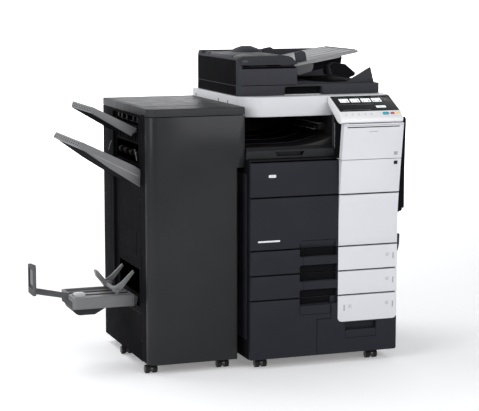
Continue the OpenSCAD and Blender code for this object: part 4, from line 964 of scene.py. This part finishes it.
CASTERS = [
    ("main_caster_left", "main_wheels_left", 63, 47), ("main_caster_right", "main_wheels_right", 558, 47),
    ("machine", "main_wheels_rear_left", 63, 690), ("machine", "main_wheels_rear_right", 558, 690),
    ("fin_caster_left", "fin_wheels_left", -388, 102), ("fin_caster_right", "fin_wheels_right", -84, 98),
    ("machine", "fin_wheels_rear_left", -388, 458), ("machine", "fin_wheels_rear_right", -84, 458),
]
WHEEL_R = 17.5
WHEEL_SIDE = 24.5
TRAIL = 9


def make_casters():
    for holder, wheels, x, y in CASTERS:
        bm = bmesh.new()
        outline = []
        for i in range(15):
            a = math.radians(-28 + 236 * i / 14)
            outline.append((y + TRAIL + (WHEEL_R + 1) * math.cos(a), WHEEL_R + (WHEEL_R + 1) * math.sin(a)))
        prism(bm, outline, -5.8, 5.8, axes((x, 0, 0), Y, Z))
        name = wheels.replace("wheels", "hood")
        finish_piece(name, bm, caster_black, 0.8, 3, body=holder)
        bm = bmesh.new()
        for side in (-1, 1):
            place = axes((x + side * WHEEL_SIDE, y + TRAIL, WHEEL_R), Y * side, Z)
            lathe(bm, [(15.4, -0.6), (15.4, 0.6), (12.5, 1.6), (5.4, 1.9), (4.2, 2.6), (1.5, 2.8)], place, 30)
            for k in range(6):
                turn = place @ Matrix.Rotation(k * math.pi / 3, 4, "Z")
                prism(bm, oblong(5.5, -1.2, 11.5, 1.2, 1), 1.2, 2.4, turn)
        finish_piece(wheels.replace("wheels", "hubs"), bm, caster_black, 0.4, body=wheels)


# ------------------------------------------------------------------- the scene


def area_light(name, place, target, size, power):
    light = bpy.data.lights.new(name, "AREA")
    light.shape = "RECTANGLE"
    light.size, light.size_y = size
    light.energy = power
    obj = bpy.data.objects.new(name, light)
    bpy.context.scene.collection.objects.link(obj)
    obj.location = place
    obj.rotation_euler = (Vector(target) - Vector(place)).to_track_quat("-Z", "Y").to_euler()


def add_stage(name, bm, colour, glow):
    mat, _, shader = material(name + "_paper", colour, 0.9)
    shader.inputs["Emission Color"].default_value = (1, 1, 1, 1)
    shader.inputs["Emission Strength"].default_value = glow
    obj = mesh_object(name, bm, mat)
    return obj


# The studio's sizes, in metres.
FLOOR_START = -16.0
WALL_Y = 13.0
WALL_HEIGHT = 9.0
HALF_WIDTH = 16.0
BEND_R = 3.0
BEND_STEPS = 12
DRUM_R = 30
DRUM_HEIGHT = 40


def make_stage():
    """A white floor that bends up into a wall behind, and far off a pale drum that only the camera sees."""
    bm = bmesh.new()
    line = [(FLOOR_START, 0.0), (WALL_Y - BEND_R, 0.0)]
    for i in range(1, BEND_STEPS + 1):
        a = math.radians(90 * i / BEND_STEPS)
        line.append((WALL_Y - BEND_R + BEND_R * math.sin(a), BEND_R - BEND_R * math.cos(a)))
    line.append((WALL_Y, WALL_HEIGHT))
    rows = [[bm.verts.new((x, y, z)) for x in (-HALF_WIDTH, HALF_WIDTH)] for y, z in line]
    for a, b in zip(rows, rows[1:]):
        bm.faces.new((a[0], a[1], b[1], b[0]))
    add_stage("studio_floor", bm, (0.92, 0.92, 0.93), 0.22)
    bm = bmesh.new()
    bmesh.ops.create_cone(bm, segments=64, radius1=DRUM_R, radius2=DRUM_R, depth=DRUM_HEIGHT, cap_ends=True)
    drum = add_stage("studio_drum", bm, (0.0, 0.0, 0.0), 0.76)
    drum.visible_diffuse = drum.visible_glossy = False
    drum.visible_transmission = drum.visible_shadow = False


def make_light_and_camera():
    bpy.context.scene.view_settings.view_transform = "Standard"
    world = bpy.data.worlds.new("studio")
    bpy.context.scene.world = world
    world.use_nodes = True
    world.node_tree.nodes["Background"].inputs["Color"].default_value = (0.96, 0.98, 1.0, 1)
    world.node_tree.nodes["Background"].inputs["Strength"].default_value = 0.45
    area_light("key", (2.2, -5.4, 2.6), (0, 0, 0.6), (3.2, 2.6), 112)
    area_light("fill", (-4.2, -2.0, 2.6), (-0.2, 0, 0.7), (2.6, 2.6), 90)
    area_light("overhead", (-1.4, 2.0, 4.2), (0.0, 0.2, 0.8), (2.6, 2.6), 80)
    area_light("paper", (4.5, 7.5, 4.8), (4.2, 10.5, 0.5), (6.0, 3.5), 560)
    # The camera that took the picture, solved from the machine's straight edges in it.
    camera = bpy.data.cameras.new("view")
    camera.sensor_width = 36.0
    camera.lens = 120.4
    obj = bpy.data.objects.new("view", camera)
    obj.location = corner + Vector((-2.1835, -5.9556, 1.5983))
    obj.rotation_euler = (math.radians(81.76), 0.0, math.radians(-19.74))
    bpy.context.scene.collection.objects.link(obj)
    bpy.context.scene.camera = obj


make_light_and_camera()
make_stage()
dress_cad()
make_panel()
make_column()
make_drawer_marks()
make_front_edges()
make_drawer_insides()
make_output()
make_inside_doors()
make_feeder()
make_scanner()
make_finisher()
make_finisher_inside()
make_trays()
make_booklet()
make_covers()
make_side_unit()
make_casters()

bpy.context.view_layer.update()
